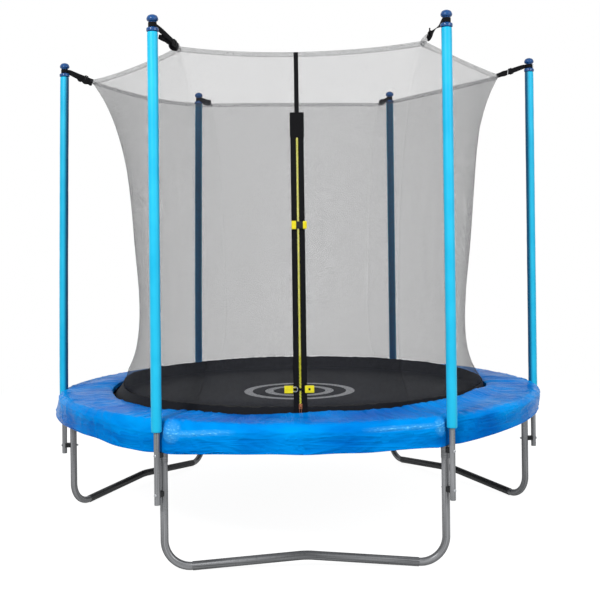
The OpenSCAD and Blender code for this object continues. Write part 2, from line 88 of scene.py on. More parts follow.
def new_material(name, roughness, metallic=0.0, ior=None, gloss=0.5):
    """A material with its node tree and its Principled shader. gloss is the specular level:
    0.5 for a sealed surface, less for open fibres that scatter most of what they mirror."""
    made = bpy.data.materials.new(name)
    made.use_nodes = True
    shader = made.node_tree.nodes["Principled BSDF"]
    shader.inputs["Roughness"].default_value = roughness
    shader.inputs["Metallic"].default_value = metallic
    shader.inputs["Specular IOR Level"].default_value = gloss
    if ior:
        shader.inputs["IOR"].default_value = ior
    return made, made.node_tree, shader


def tone(tree, share, dark, light, low=0.0, high=1.0):
    """A colour between two hex colours, by a 0 to 1 value: dark up to low, light from high."""
    stops = add(tree, "ValToRGB", {"Fac": share})
    for element, place, colour in zip(stops.color_ramp.elements, (low, high), (dark, light)):
        element.position, element.color = place, linear(colour)
    return stops.outputs["Color"]


def bump(tree, shader, height, distance, strength=1.0):
    """Lets a 0 to 1 height tilt the shader's normals. distance is the relief in metres."""
    made = add(tree, "Bump", {"Height": height, "Distance": distance, "Strength": strength})
    tree.links.new(made.outputs["Normal"], shader.inputs["Normal"])


def mottled(name, roughness, dark, light, per_metre, detail=2.0, low=0.3, relief=0.0, **surface):
    """A moulded or cast finish: a noise with so many grains per metre mixes two tones, and with
    relief it also ripples the skin by a fifth of a millimetre."""
    made, tree, shader = new_material(name, roughness, **surface)
    place = add(tree, "TexCoord")
    grain = add(tree, "TexNoise", {"Vector": place.outputs["Object"], "Scale": per_metre, "Detail": detail})
    tree.links.new(tone(tree, grain.outputs["Fac"], dark, light, low, 1 - low), shader.inputs["Base Color"])
    if relief:
        bump(tree, shader, grain.outputs["Fac"], 0.0002, relief)
    return made


def threads(tree, place, pitch):
    """A weave's height, 0 to 1: two waves that cross each other, multiplied. pitch is in metres."""
    spread = add(tree, "Mapping", {"Vector": place, "Scale": (1 / pitch, 1 / pitch, 1)})
    warp, weft = (add(tree, "TexWave", {"Vector": spread, "Scale": 0.5}, bands_direction=axis)
                  for axis in "XY")
    return add(tree, "Math", {0: warp.outputs["Fac"], 1: weft.outputs["Fac"]}, operation="MULTIPLY")


def distance_from(tree, value, middle):
    """How far a value is from a middle one, on either side."""
    less = add(tree, "Math", {0: value, 1: middle}, operation="SUBTRACT")
    return add(tree, "Math", {0: less}, operation="ABSOLUTE")


# %% [markdown]
# ## Tools for shapes
# Every new piece is a grid of points: rows along it and columns round or across it. The
# grid's own coordinates, in metres along the cloth or the tube, become its UV map, so a
# weave or a rolling mark follows the surface. Blocks of faces are joined into one mesh,
# and points that fall on each other are merged, which closes the seams and the poles.

# %% Grids, sweeps and turned shapes
def grid(points, uv):
    """One block: vertices, four-cornered faces between neighbours, UV. points is rows x columns x 3."""
    rows, cols = points.shape[:2]
    n = np.arange(rows * cols).reshape(rows, cols)
    faces = np.stack([n[:-1, :-1], n[:-1, 1:], n[1:, 1:], n[1:, :-1]], -1).reshape(-1, 4)
    return points.reshape(-1, 3), faces, uv.reshape(-1, 2)


def turned(block, degrees):
    """Copies of a block, each turned about Z: x' = x cos a - y sin a, y' = x sin a + y cos a."""
    points, faces, uv = block
    a = np.radians(np.atleast_1d(degrees))[:, None]
    x, y, z = points.T
    copies = np.stack([x * np.cos(a) - y * np.sin(a), x * np.sin(a) + y * np.cos(a),
                       np.broadcast_to(z, (len(a), len(z)))], -1).reshape(-1, 3)
    steps = len(points) * np.arange(len(a))[:, None, None]
    return copies, (faces + steps).reshape(-1, faces.shape[1]), np.tile(uv, (len(a), 1))


def moved(block, shift):
    """A block moved by (x, y, z)."""
    return block[0] + np.asarray(shift, float), block[1], block[2]


def joined(*blocks):
    """Several blocks as one."""
    starts = np.cumsum([0] + [len(b[0]) for b in blocks[:-1]])
    return (np.concatenate([b[0] for b in blocks]),
            np.concatenate([b[1] + s for b, s in zip(blocks, starts)]),
            np.concatenate([b[2] for b in blocks]))


def lengths(path):
    """The distance along a path up to each of its points."""
    return np.concatenate([[0], np.cumsum(np.linalg.norm(np.diff(path, axis=0), axis=1))])


def mapped(along, across):
    """UV in metres, from lengths in millimetres along the rows and across them."""
    return np.stack(np.broadcast_arrays(along, across), -1) * MM


def in_plane(xz, y):
    """Points (x, z) stood up as (x, y, z)."""
    return np.column_stack([xz[:, 0], np.full(len(xz), y), xz[:, 1]])


def looped(path):
    """A path with its first point again at its end."""
    return np.concatenate([path, path[:1]])


def full_turn(steps):
    """Angles once round, with the first one again at the end."""
    return np.linspace(0, 2 * np.pi, steps + 1)


def ramp(value, low, high):
    """0 at low, 1 at high, a straight line between."""
    return np.clip((value - low) / (high - low), 0, 1)


def soft_step(value, low, high):
    """0 at low, 1 at high, 3 t^2 - 2 t^3 between."""
    t = ramp(value, low, high)
    return t * t * (3 - 2 * t)


def circle(r, steps=24):
    """A closed round profile: (r cos t, r sin t)."""
    t = full_turn(steps)
    return np.stack([r * np.cos(t), r * np.sin(t)], -1)


def slab_profile(width, thick, power=6, steps=24):
    """A flat strap's profile: a superellipse, |x / a|^n + |y / b|^n = 1, nearly a rectangle."""
    t = full_turn(steps) + np.pi / steps
    c, s = np.cos(t), np.sin(t)
    grow = (np.abs(c) ** power + np.abs(s) ** power) ** (-1 / power)
    return np.stack([c * grow * width / 2, s * grow * thick / 2], -1)


def unit(v):
    """Vectors scaled to a length of one."""
    return v / np.maximum(np.linalg.norm(v, axis=-1, keepdims=True), 1e-12)


def sweep(path, side, profile, size=None, ring=False):
    """Carries a profile along a path: point = path + size (x side + y (tangent x side)).
    side is made square to the path. Open ends are closed by a last ring of size zero."""
    path = np.asarray(path, float)
    size = np.ones(len(path)) if size is None else size
    tangent = np.gradient(path, axis=0)
    if ring:
        tangent[0] = tangent[-1] = path[1] - path[-2]
    tangent = unit(tangent)
    side = np.broadcast_to(np.asarray(side, float), path.shape)
    side = unit(side - (side * tangent).sum(-1, keepdims=True) * tangent)
    up = np.cross(tangent, side)
    along = lengths(path)
    if not ring:
        first, last = (lambda a: np.concatenate([a[:1], a])), (lambda a: np.concatenate([a, a[-1:]]))
        path, side, up, along = (last(first(a)) for a in (path, side, up, along))
        size = np.concatenate([[0], size, [0]])
    across = size[:, None, None] * profile[None]
    points = path[:, None] + across[..., :1] * side[:, None] + across[..., 1:] * up[:, None]
    return grid(points, mapped(along[:, None], lengths(profile)[None]))


def lathe(profile, steps=48, centre=(0, 0)):
    """Turns a profile of (radius, height) about an upright axis."""
    profile = np.asarray(profile, float)
    t = full_turn(steps)[:, None]
    r, z = profile[None, :, 0], profile[None, :, 1]
    points = np.stack([centre[0] + r * np.cos(t), centre[1] + r * np.sin(t),
                       np.broadcast_to(z, (steps + 1, len(profile)))], -1)
    return grid(points, mapped(t * profile[:, 0].max(), lengths(profile)[None]))


def arc(cx, cy, r, start, end, steps):
    """Points on a circle from one angle to another, in degrees."""
    a = np.radians(np.linspace(start, end, steps + 1))
    return np.stack([cx + r * np.cos(a), cy + r * np.sin(a)], -1)


def smooth(points, per, ring=True):
    """A smooth curve through points (Catmull-Rom): between p1 and p2 it is
    p1 + t (p2 - p0) / 2 + t^2 (p0 - 5 p1 / 2 + 2 p2 - p3 / 2) + t^3 (3 p1 - p0 - 3 p2 + p3) / 2."""
    if ring:
        p0, p1, p2, p3 = (np.roll(points, k, -2) for k in (1, 0, -1, -2))
    else:
        padded = np.concatenate([points[..., :1, :], points, points[..., -1:, :]], -2)
        p0, p1, p2, p3 = (padded[..., k:padded.shape[-2] - 3 + k, :] for k in range(4))
    t = (np.arange(per) / per)[:, None]
    p0, p1, p2, p3 = (p[..., None, :] for p in (p0, p1, p2, p3))
    curve = (p1 + t * (p2 - p0) / 2 + t ** 2 * (p0 - 2.5 * p1 + 2 * p2 - p3 / 2)
             + t ** 3 * (3 * p1 - p0 - 3 * p2 + p3) / 2)
    curve = curve.reshape(*curve.shape[:-3], -1, points.shape[-1])
    end = curve[..., :1, :] if ring else points[..., -1:, :]
    return np.concatenate([curve, end], -2)


def ripple(u, v, cells_u, cells_v, seed):
    """Smooth value noise from -1 to 1: random heights at the corners of a lattice, blended
    with 3 t^2 - 2 t^3. It repeats in u, which runs from 0 to 1 round a ring."""
    heights = np.random.default_rng(seed).uniform(-1, 1, (cells_u, cells_v + 2))
    x, y = (u % 1) * cells_u, np.clip(v, 0, 0.9999) * cells_v
    i, j = x.astype(int) % cells_u, y.astype(int)
    fx, fy = x - np.floor(x), y - np.floor(y)
    fx, fy = fx * fx * (3 - 2 * fx), fy * fy * (3 - 2 * fy)
    k = (i + 1) % cells_u
    return ((heights[i, j] * (1 - fx) + heights[k, j] * fx) * (1 - fy)
            + (heights[i, j + 1] * (1 - fx) + heights[k, j + 1] * fx) * fy)


# %% [markdown]
# ## From blocks to pieces
# A piece is one object with its mesh in place, in metres, at the origin. Its material, the
# CAD nodes that it stands for and the body that it rides on are all said in one call. Edges
# sharper than a given angle stay crisp.

# %% Making a piece
TOUCHING, FLAT_ANGLE, EASED_ANGLE = 2e-6, math.radians(0.5), math.radians(50)


def merged(mesh, outward=False, coplanar=False):
    """Joins points that fall together. outward turns a closed mesh's faces to the outside, and
    coplanar joins flat neighbours into one face."""
    work = bmesh.new()
    work.from_mesh(mesh)
    bmesh.ops.remove_doubles(work, verts=work.verts, dist=TOUCHING)
    if outward:
        bmesh.ops.recalc_face_normals(work, faces=work.faces)
    if coplanar:
        bmesh.ops.dissolve_limit(work, angle_limit=FLAT_ANGLE, verts=work.verts, edges=work.edges)
    work.to_mesh(mesh)
    work.free()
    return mesh


def placed(name, mesh, material, body, stands_for, crisp):
    """Puts a mesh into the scene as a piece of the object."""
    mesh.shade_smooth()
    mesh.set_sharp_from_angle(angle=math.radians(crisp))
    mesh.materials.clear()
    mesh.materials.append(material)
    made = bpy.data.objects.new(name, mesh)
    SCENE.collection.objects.link(made)
    if stands_for:
        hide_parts(*stands_for)
    if body:
        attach(made, body)
    print(f"{name}: {len(mesh.vertices)} vertices, {len(mesh.polygons)} faces")
    return made


def piece(name, block, material, body=None, stands_for=(), crisp=40, closed=True):
    """Makes the object."""
    points, faces, uv = block
    mesh = bpy.data.meshes.new(name)
    mesh.from_pydata(points * MM, [], faces)
    mesh.uv_layers.new(name="UVMap").data.foreach_set("uv", uv[faces.ravel()].astype(np.float32).ravel())
    return placed(name, merged(mesh, outward=closed), material, body, stands_for, crisp)


def refined(name, node, material, body, bevel, crisp=35):
    """A CAD node whose shape is right, as a merged copy with smooth round faces and eased edges."""
    mesh = merged(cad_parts[node].data.copy(), coplanar=True)
    made = placed(name, mesh, material, body, [node], crisp)
    eased = made.modifiers.new("Eased edges", "BEVEL")
    eased.width, eased.segments, eased.limit_method, eased.angle_limit = bevel, 2, "ANGLE", EASED_ANGLE
    return made


# %% [markdown]
# ## Camera, light and floor
# A long lens stands about four metres in front, at chest height, level but slightly rolled.
# Two soft lamps in front, a key and a weaker fill, and a pale world light the object. The
# camera, glossy and transmitted rays see a white world, while diffuse light comes from a
# weaker one. To the camera the floor glows almost white, so that only a faint shadow shows.

# %% Camera
EYE, YAW, TILT = (-0.0973, -5.2028, 1.3764), math.radians(-1.0), math.radians(-0.705)
camera = bpy.data.objects.new("Camera", bpy.data.cameras.new("Camera"))
SCENE.collection.objects.link(camera)
SCENE.camera = camera
SCENE.view_settings.view_transform = "Standard"
camera.data.sensor_width, camera.data.lens = 36.0, 58.8
camera.data.shift_x, camera.data.shift_y = 0.006, -0.0925
camera.matrix_world = (Matrix.Translation(EYE) @ Matrix.Rotation(YAW, 4, "Z")
                       @ Matrix.Rotation(math.pi / 2, 4, "X") @ Matrix.Rotation(TILT, 4, "Z"))

# %% Lamps
def lamp(name, place, size, watts, target=(0, 0, 0.9)):
    """A square softbox that faces a target."""
    data = bpy.data.lights.new(name, "AREA")
    data.shape, data.size, data.energy = "SQUARE", size, watts
    made = bpy.data.objects.new(name, data)
    SCENE.collection.objects.link(made)
    away = Vector(place) - Vector(target)
    made.matrix_world = Matrix.Translation(place) @ away.to_track_quat("Z", "Y").to_matrix().to_4x4()


lamp("KeySoftbox", (-2.6, -5.2, 4.2), 1.3, 235)
lamp("FillSoftbox", (3.6, -4.0, 3.0), 1.8, 95)

# %% World and floor
WHITE = linear("#FFFFFF")
FADE_FROM, FADE_TO = 2.5, 5.0


def emptied(owner):
    """The owner's node tree without any node."""
    owner.use_nodes = True
    owner.node_tree.nodes.clear()
    return owner.node_tree


def ray_is(tree, *kinds):
    """1 for a ray of any of these kinds."""
    rays = add(tree, "LightPath")
    found = rays.outputs[kinds[0]]
    for kind in kinds[1:]:
        found = add(tree, "Math", {0: found, 1: rays.outputs[kind]}, operation="MAXIMUM")
    return found


SCENE.world = bpy.data.worlds.new("PaleStudio")
tree = emptied(SCENE.world)
seen = ray_is(tree, "Is Camera Ray", "Is Glossy Ray", "Is Transmission Ray")
soft = add(tree, "Background", {"Color": linear("#F2F5FA"), "Strength": 0.5})
white = add(tree, "Background", {"Color": WHITE, "Strength": 1.0})
mixed = add(tree, "MixShader", {0: seen, 1: soft, 2: white})
add(tree, "OutputWorld", {"Surface": mixed})

floor_finish = bpy.data.materials.new("PaleStudioFloor")
tree = emptied(floor_finish)
seen = ray_is(tree, "Is Camera Ray", "Is Glossy Ray")
paper = add(tree, "BsdfDiffuse", {"Color": linear("#8A8A8A")})
glow = add(tree, "Emission", {"Color": WHITE, "Strength": 0.95})
lit = add(tree, "AddShader", {0: paper, 1: glow})
# beyond the shadow's reach the floor fades into the white world, so no horizon shows
place = add(tree, "TexCoord")
away = add(tree, "VectorMath", {0: place.outputs["Object"]}, operation="LENGTH")
faded = add(tree, "MapRange", {"Value": away.outputs["Value"], "From Min": FADE_FROM, "From Max": FADE_TO})
plain = add(tree, "Emission", {"Color": WHITE, "Strength": 1.0})
lit = add(tree, "MixShader", {0: faded, 1: lit, 2: plain})
mixed = add(tree, "MixShader", {0: seen, 1: paper, 2: lit})
add(tree, "OutputMaterial", {"Surface": mixed})

floor = bpy.data.objects.new("StudioFloor", bpy.data.meshes.new("StudioFloor"))
floor_corners = [(x, y, -0.001) for x, y in ((-40, -40), (40, -40), (40, 40), (-40, 40))]
floor.data.from_pydata(floor_corners, [], [(0, 1, 2, 3)])
floor.data.materials.append(floor_finish)
SCENE.collection.objects.link(floor)

# %% [markdown]
# ## Galvanised steel tube
# The ring, the legs and the poles are mill-galvanised mild steel: strip is dipped in zinc,
# rolled round and welded into tube, then bent. Dull zinc gives a middling grey with soft
# reflections, so the finish is only partly metallic. Noise stretched along the tube, in its
# UV map, draws the rolling lines. Faint crystal patches, called spangle, change the gloss.
# Real spangle is about 5 mm wide, and it is drawn at 14 mm to show from a few metres. The
# legs' base tubes take darker copies of the finish, as painted shade, darkest at the rear.

# %% Steel finishes
def steel(name, dark, light, roughness):
    """Zinc-coated steel whose colour wanders between two greys."""
    made, tree, shader = new_material(name, roughness, metallic=0.35, gloss=0.1)
    shader.inputs["Specular Tint"].default_value = linear("#4A4A4A")
    place = add(tree, "TexCoord")
    crystals = add(tree, "TexVoronoi", {"Vector": place.outputs["Object"], "Scale": 1 / 0.014},
                   feature="SMOOTH_F1")
    stretched = add(tree, "Mapping", {"Vector": place.outputs["UV"], "Scale": (3, 220, 1)})
    lines = add(tree, "TexNoise", {"Vector": stretched, "Scale": 1.0, "Detail": 3.0})
    tree.links.new(tone(tree, lines.outputs["Fac"], dark, light, 0.32, 0.68), shader.inputs["Base Color"])
    rough = add(tree, "MapRange", {"Value": crystals.outputs["Distance"], "From Max": 0.9,
                                   "To Min": roughness - 0.08, "To Max": roughness + 0.14})
    tree.links.new(rough.outputs[0], shader.inputs["Roughness"])
    bump(tree, shader, lines.outputs["Fac"], 0.0002, 0.5)
    return made


STEEL = steel("galvanised_steel_rolled_tube", "#626364", "#A6A7A9", 0.3)
# painted shade: darker copies of the same steel for the legs' base tubes, darker still at the rear
STEEL_BASE_SHADED = steel("galvanised_steel_tube_painted_shade", "#4C4D4E", "#8A8B8D", 0.28)
STEEL_REAR_SHADED = steel("galvanised_steel_tube_painted_deep_shade", "#333435", "#68696A", 0.32)
ZINC = steel("zinc_plated_fastener", "#8D9094", "#C6C8CA", 0.28)

# %% [markdown]
# ## The ring
# Six curved rails plug into each other, each with a short upright socket for a leg. A rail
# is a round profile carried along one sixth of a circle. The socket is a turned tube, and
# a low uneven bead of weld joins the two.

# %% Rails
RING_R, RING_Z, TUBE_R = 1198.0, 596.0, 19.0
SOCKET_OUT, SOCKET_IN, SOCKET_LOW = 18.5, 17.3, 460.0


def ring_tube(start, end, r, steps=48):
    """A length of the ring's tube between two angles."""
    xy = arc(0, 0, RING_R, start, end, steps)
    return sweep(np.column_stack([xy, np.full(len(xy), RING_Z)]), (0, 0, 1), circle(r, 28))


socket = lathe([(SOCKET_IN, SOCKET_LOW + 60), (SOCKET_IN, SOCKET_LOW + 0.6), (SOCKET_IN + 0.4, SOCKET_LOW),
                (SOCKET_OUT - 0.3, SOCKET_LOW), (SOCKET_OUT, SOCKET_LOW + 0.5), (SOCKET_OUT, RING_Z - 4)],
               40, (RING_R, 0))
t = full_turn(72)
bead_r = SOCKET_OUT + 0.6
bead_z = RING_Z - np.sqrt(TUBE_R ** 2 - (SOCKET_OUT * np.cos(t)) ** 2 * 0.96)
bead = sweep(np.column_stack([RING_R + bead_r * np.cos(t), bead_r * np.sin(t), bead_z]), (0, 0, 1),
             circle(2.4, 10), 1 + 0.16 * np.sin(t * 19), ring=True)
rail = joined(ring_tube(-29.96, 29.96, TUBE_R), ring_tube(29.5, 32.0, TUBE_R - 1.7, 6), socket, bead)
for i in range(1, 7):
    piece(f"ring_rail_{i}", turned(rail, 60 * (i - 1)), STEEL, "frame", [f"rail_{i}"])

# %% [markdown]
# ## The legs
# Each leg is a wide W of three tubes. Two feet, bent like a J, come down from the ring's
# sockets and plug into a slightly thicker base tube, which rises to a soft hump in the
# middle. Each tube is a straight run or an arc, and a round profile follows it. Turning
# half of the path over gives the other half.

# %% Legs
LEG_R, BASE_R, LEG_TOP, LEG_HALF, PLUG = 17.0, 19.0, 565.0, 599.0, 40.0
FOOT_BEND, SLOPE, HUMP_BEND = 110.0, 4.5, 400.0
LEG_PLANE = RING_R * math.cos(math.radians(30))
slope = math.radians(SLOPE)
bend_z = (BASE_R + FOOT_BEND) * math.cos(slope)
foot = arc(LEG_HALF - FOOT_BEND, bend_z, FOOT_BEND, 0, -90 - SLOPE, 30)
hump_z = foot[-1, 1] + (foot[-1, 0] - HUMP_BEND * math.sin(slope)) * math.tan(slope)
hump = arc(0, hump_z - HUMP_BEND * math.cos(slope), HUMP_BEND, 90 - SLOPE, 90, 5)


def leg_tube(xz, r, steps=32, size=None):
    """A tube along a path of (x, z) in the front leg's plane."""
    return sweep(in_plane(xz, -LEG_PLANE), (0, 1, 0), circle(r, steps), size)


upright = np.column_stack([np.full(12, LEG_HALF), np.linspace(LEG_TOP, bend_z + 8, 12)])
plug = foot[-1] + np.linspace(0.1, 1, 4)[:, None] * (-PLUG, PLUG * math.tan(slope))
j_path = np.concatenate([upright, foot, plug])
feet = joined(*[leg_tube(j_path * (side, 1), LEG_R) for side in (1, -1)])
lip = np.array([-0.4, -0.1, 0.3, 2.0])[:, None] * (-math.cos(slope), math.sin(slope))
half_path = np.concatenate([foot[-1] + lip, np.linspace(foot[-1], hump[0], 16)[1:-1], hump])
base_path = np.concatenate([half_path, half_path[-2::-1] * (-1, 1)])
rounding = np.ones(len(base_path))
rounding[[0, -1]], rounding[[1, -2]] = 0.93, 0.985
base_tube = leg_tube(base_path, BASE_R, 36, rounding)
for name, around, finish in (("front", 0, STEEL_BASE_SHADED), ("right", -240, STEEL_REAR_SHADED),
                             ("left", -120, STEEL_REAR_SHADED)):
    piece(f"leg_feet_{name}", turned(feet, around), STEEL, "frame")
    piece(f"leg_base_{name}", turned(base_tube, around), finish, "frame", [f"leg_{name}"])

# %% [markdown]
# ## The poles
# A pole is two thin tubes, one plugged into the other. Only the lowest 300 mm shows below
# the foam. It is a turned shape with a real wall at its open lower end.

# %% Poles
POLE_R, POLE_TUBE_R, POLE_LOW, POLE_JOINT, POLE_TOP = 1245.0, 12.5, 289.0, 1290.0, 2307.0
# pole: how far its top stands out of true, in x, y and z
LEAN = {1: (0, 0, 5), 3: (22, 0, 5), 4: (25, 0, 0), 5: (4, 0, 0), 6: (-3, 0, 9)}


def lean(points, i):
    """A pole out of true: its points move by lean ((z - 600) / 1750) to the power 1.3."""
    share = ramp(points[..., 2], 600, 2350) ** 1.3
    return points + share[..., None] * np.array(LEAN.get(i, (0, 0, 0)), float)


def at_pole(block, i):
    """A block made at the first pole, turned to pole i and leaning with it."""
    points, faces, uv = turned(block, 60 * (i - 1))
    return lean(points, i), faces, uv


def pole_tube(*profile):
    """A turned tube on the first pole, from points (inset from its skin, height). Its UV map is
    turned too, so that its rolling lines run up it."""
    points, faces, uv = lathe([(POLE_TUBE_R - inset, z) for inset, z in profile], 32, (POLE_R, 0))
    return points, faces, uv[:, ::-1]


sections = (
    ("low", "lower", pole_tube((1.2, POLE_LOW + 50), (1.2, POLE_LOW + 0.4), (0.8, POLE_LOW), (0.4, POLE_LOW),
                               (0, POLE_LOW + 0.4), (0, POLE_JOINT - 0.3), (1.4, POLE_JOINT),
                               (1.4, POLE_JOINT + 60), (POLE_TUBE_R, POLE_JOINT + 60))),
    ("high", "upper", pole_tube((1.2, POLE_JOINT + 0.2), (0, POLE_JOINT + 0.2), (0, POLE_TOP),
                                (POLE_TUBE_R, POLE_TOP))))
for i in range(1, 7):
    for name, node, tube in sections:
        piece(f"pole_tube_{name}_{i}", at_pole(tube, i), STEEL, "frame",
              [f"pole_{node}_{i}"], closed=False)


# %% [markdown]
# ## Fasteners and spacers
# Carriage bolts and nuts hold each pole to its leg through black plastic saddles. Their CAD
# shapes are right, so they are merged copies with their edges eased by a bevel.

# %% Fasteners
black_plastic = mottled("polypropylene_moulded_black", 0.42, "#131416", "#202123", 1 / 0.003, relief=0.4,
                        ior=1.49, gloss=0.2)
refined("carriage_bolts", "pole_bolts", ZINC, "frame", bevel=0.0004)
refined("hex_nuts", "pole_nuts", ZINC, "frame", crisp=25, bevel=0.0004)
refined("pole_saddles", "pole_spacers", black_plastic, "frame", bevel=0.0012)

# %% [markdown]
# ## Pole caps
# A cap is injection-moulded blue plastic: a collar over the foam's end, a neck for the
# strap and a dome inside a rounded brim. Its outline is one profile of arcs and a smooth
# curve, turned round the pole. Moulded gloss gives clear highlights, with a very fine
# orange-peel ripple.

# %% Caps
cap_plastic = mottled("polyethylene_moulded_gloss_blue", 0.24, "#083C76", "#125592", 1 / 0.006, 1.0,
                      relief=0.3, ior=1.5, gloss=0.4)
CAP_Z, NECK_R = 2277.0, 16.0
head = smooth(np.array([(NECK_R, 2314), (NECK_R, 2319), (20, 2321.2), (23.4, 2324.6), (24.9, 2329.2),
                        (24.7, 2332.4), (23.6, 2336), (21.8, 2340), (19.4, 2343.4), (15.8, 2346),
                        (9.5, 2348.8), (4, 2349.8), (0, 2350.0)]), 4, ring=False)
cap_profile = np.concatenate([
    [(13.0, CAP_Z + 14), (13.0, CAP_Z + 0.5), (13.6, CAP_Z)],
    arc(22.3, CAP_Z + 4, 3.7, -90, 0, 6), arc(20.5, CAP_Z + 11.5, 5.5, 0, 90, 8),
    arc(18.0, CAP_Z + 19, 2.0, -90, -180, 4), head])
cap = lathe(cap_profile, 48, (POLE_R, 0))
piece("pole_caps_blue", joined(*[at_pole(cap, i) for i in range(1, 7)]), cap_plastic, "frame",
      ["pole_caps"], crisp=50, closed=False)

# %% [markdown]
# ## Foam sleeves
# Each pole wears a tube of closed-cell foam in a thin woven cover, bright cyan, pulled on
# from below. A simulated cushion would lose this slim tube, so its shape is a turned
# surface whose radius wanders by a third of a millimetre, with soft rounded ends. Its inner
# side is painted a darker blue, as painted shade, with a welded seam in the middle. On two
# poles the painted shade is turned part way round. The weave is a fine cross rib with a
# slight sheen.

# %% Foam cover
FOAM_LOW, FOAM_HIGH, FOAM_R = 595.0, 2276.7, 22.8
HALF_ROUND, SHADE_FROM, SHADE_TO = 0.0716, 0.015, 0.034
foam_cover, tree, shader = new_material("polyester_sleeve_over_foam_cyan", 0.42, ior=1.5, gloss=0.25)
place = add(tree, "TexCoord")
cloud = add(tree, "TexNoise", {"Vector": place.outputs["Object"], "Scale": 7.0, "Detail": 3.0})
cyan = tone(tree, cloud.outputs["Fac"], "#10BCE8", "#26CAF2", 0.3, 0.7)
# in the UV map, the distance in metres from the middle of the painted shade
round_pole = add(tree, "SeparateXYZ", {0: place.outputs["UV"]})
from_shade_middle = distance_from(tree, round_pole.outputs[0], HALF_ROUND)
painted_shade_side = add(tree, "MapRange", {"Value": from_shade_middle, "From Min": SHADE_FROM, "From Max": SHADE_TO},
          interpolation_type="SMOOTHSTEP")
# painted shade: the cover's inner side is drawn a darker blue
colour_with_painted_shade = add(tree, "Mix", {0: painted_shade_side, 6: linear("#08587F"), 7: cyan}, data_type="RGBA")
tree.links.new(colour_with_painted_shade.outputs[2], shader.inputs["Base Color"])
shader.inputs["Sheen Weight"].default_value = 0.05
bump(tree, shader, threads(tree, place.outputs["UV"], 0.0024), 0.0002, 0.35)

# %% Foam sleeves
# pole: degrees by which the painted shade is turned round its cover
SHADE_TURN = {2: 26, 3: -30}
# from each end inwards: height, and how much slimmer the end is there
ENDS = np.array([(0, 10.2), (0, 3.6), (1.2, 1.2), (3.5, 0.2), (8, 0)])


def foam_sleeve(index):
    """A tube: radius = base + slow ripple - pinch at the ends + a thin ridge for the seam."""
    tall = FOAM_HIGH - FOAM_LOW
    height = np.concatenate([ENDS[:, 0], np.linspace(20, tall - 20, 110), tall - ENDS[::-1, 0]])[:, None]
    inset = np.zeros_like(height)
    inset[:5, 0] = inset[:-6:-1, 0] = ENDS[:, 1]
    turn = full_turn(48)[None]
    r = FOAM_R - inset - 0.25 + 0.35 * ripple(turn / (2 * np.pi) + 0 * height, height / tall + 0 * turn,
                                              6, 34, 40 + index)
    r = r + 0.5 * np.exp(-((turn - np.pi) / 0.07) ** 2) * (inset < 1)
    points = np.stack([POLE_R + r * np.cos(turn), r * np.sin(turn), FOAM_LOW + height + 0 * r], -1)
    return grid(points, mapped((turn - math.radians(SHADE_TURN.get(index, 0))) * FOAM_R, height))


for i in range(1, 7):
    sleeve = piece(f"foam_cover_{i}", at_pole(foam_sleeve(i), i), foam_cover, "frame",
                   [f"foam_sleeve_{i}"], crisp=60)

# %% [markdown]
# ## The safety net
# The net is a knitted polyethylene mesh, so fine that it reads as a grey veil. It hangs
# from six straps, so its upper corners are drawn out, and it narrows to a waist. Each side
# is a surface: a height gives the radius at the corners and at the side's middle, and a
# parabola joins the two across the side. The net is thickened to a tenth of a millimetre,
# so the veil gets denser where it is seen edge on.

# %% The net's form
WAIST_R, WAIST_Z, CORNER_R, CORNER_Z = 871.0, 1149.0, 1087.0, 2258.0
FOOT_R, BAND_TOP, NET_LOW, HEM_H = 966.0, 675.8, 676.3, 22.0
DOOR_X, PATCH_TOP, TAPE_HALF = -14.0, 1950.0, 29.5
# middle of a side, in degrees: (radius at the top, how far the upper edge dips)
SIDES = {30: (896.0, 10.0), 90: (892.0, 2.0), 150: (928.0, 28.0), 210: (925.0, 17.0), 270: (869.0, 28.0),
         330: (944.0, 6.0)}
# corner, in degrees: how far its strap lets it sink, in x, y and z
SLACK = {240: (14.0, 25.0, -10.0), 120: (27.0, 0.0, 7.0), 0: (0.0, 0.0, 7.0)}
DOOR_LEAN = math.atan((FOOT_R - SIDES[270][0]) / (CORNER_Z - SIDES[270][1] - BAND_TOP))
SWAY, DRAWN_LEFT, DRAWN_RIGHT, TUCKED = 24.0, 24.0, 13.0, 24.0


def flare(z):
    """Below the waist the net widens with the fourth power of the way down."""
    return (FOOT_R - WAIST_R) * np.clip((WAIST_Z - z) / (WAIST_Z - BAND_TOP), 0, None) ** 4


def corner_radius(z):
    """Above the waist: 0.7 a^2 + 0.3 a^8 of the way out to the strap, a the share of the height."""
    a = np.clip((z - WAIST_Z) / (CORNER_Z - WAIST_Z), 0, None)
    return WAIST_R + flare(z) + (CORNER_R - WAIST_R) * (0.7 * a ** 2 + 0.3 * a ** 8)


def side_radius(middle, z):
    """The door's side is straight under tension. The others follow the waist."""
    if middle == 270:
        return FOOT_R - (z - BAND_TOP) * math.tan(DOOR_LEAN)
    a = np.clip((z - WAIST_Z) / (CORNER_Z - WAIST_Z), 0, None)
    return WAIST_R + flare(z) + (SIDES[middle][0] - WAIST_R) * a


def edge_height(middle, t):
    """The upper edge dips between two corners: corner - dip (1 - t^2)."""
    return CORNER_Z - SIDES[middle][1] * (1 - t * t)


def angle_from(degrees, middle):
    """The signed difference of two directions, from -180 to 180 degrees."""
    return (degrees - middle + 180) % 360 - 180


def near_angle(degrees, middle, spread=16):
    """1 at an angle, falling away on both sides: e to the power -(difference / spread)^2."""
    return np.exp(-(angle_from(degrees, middle) / spread) ** 2)


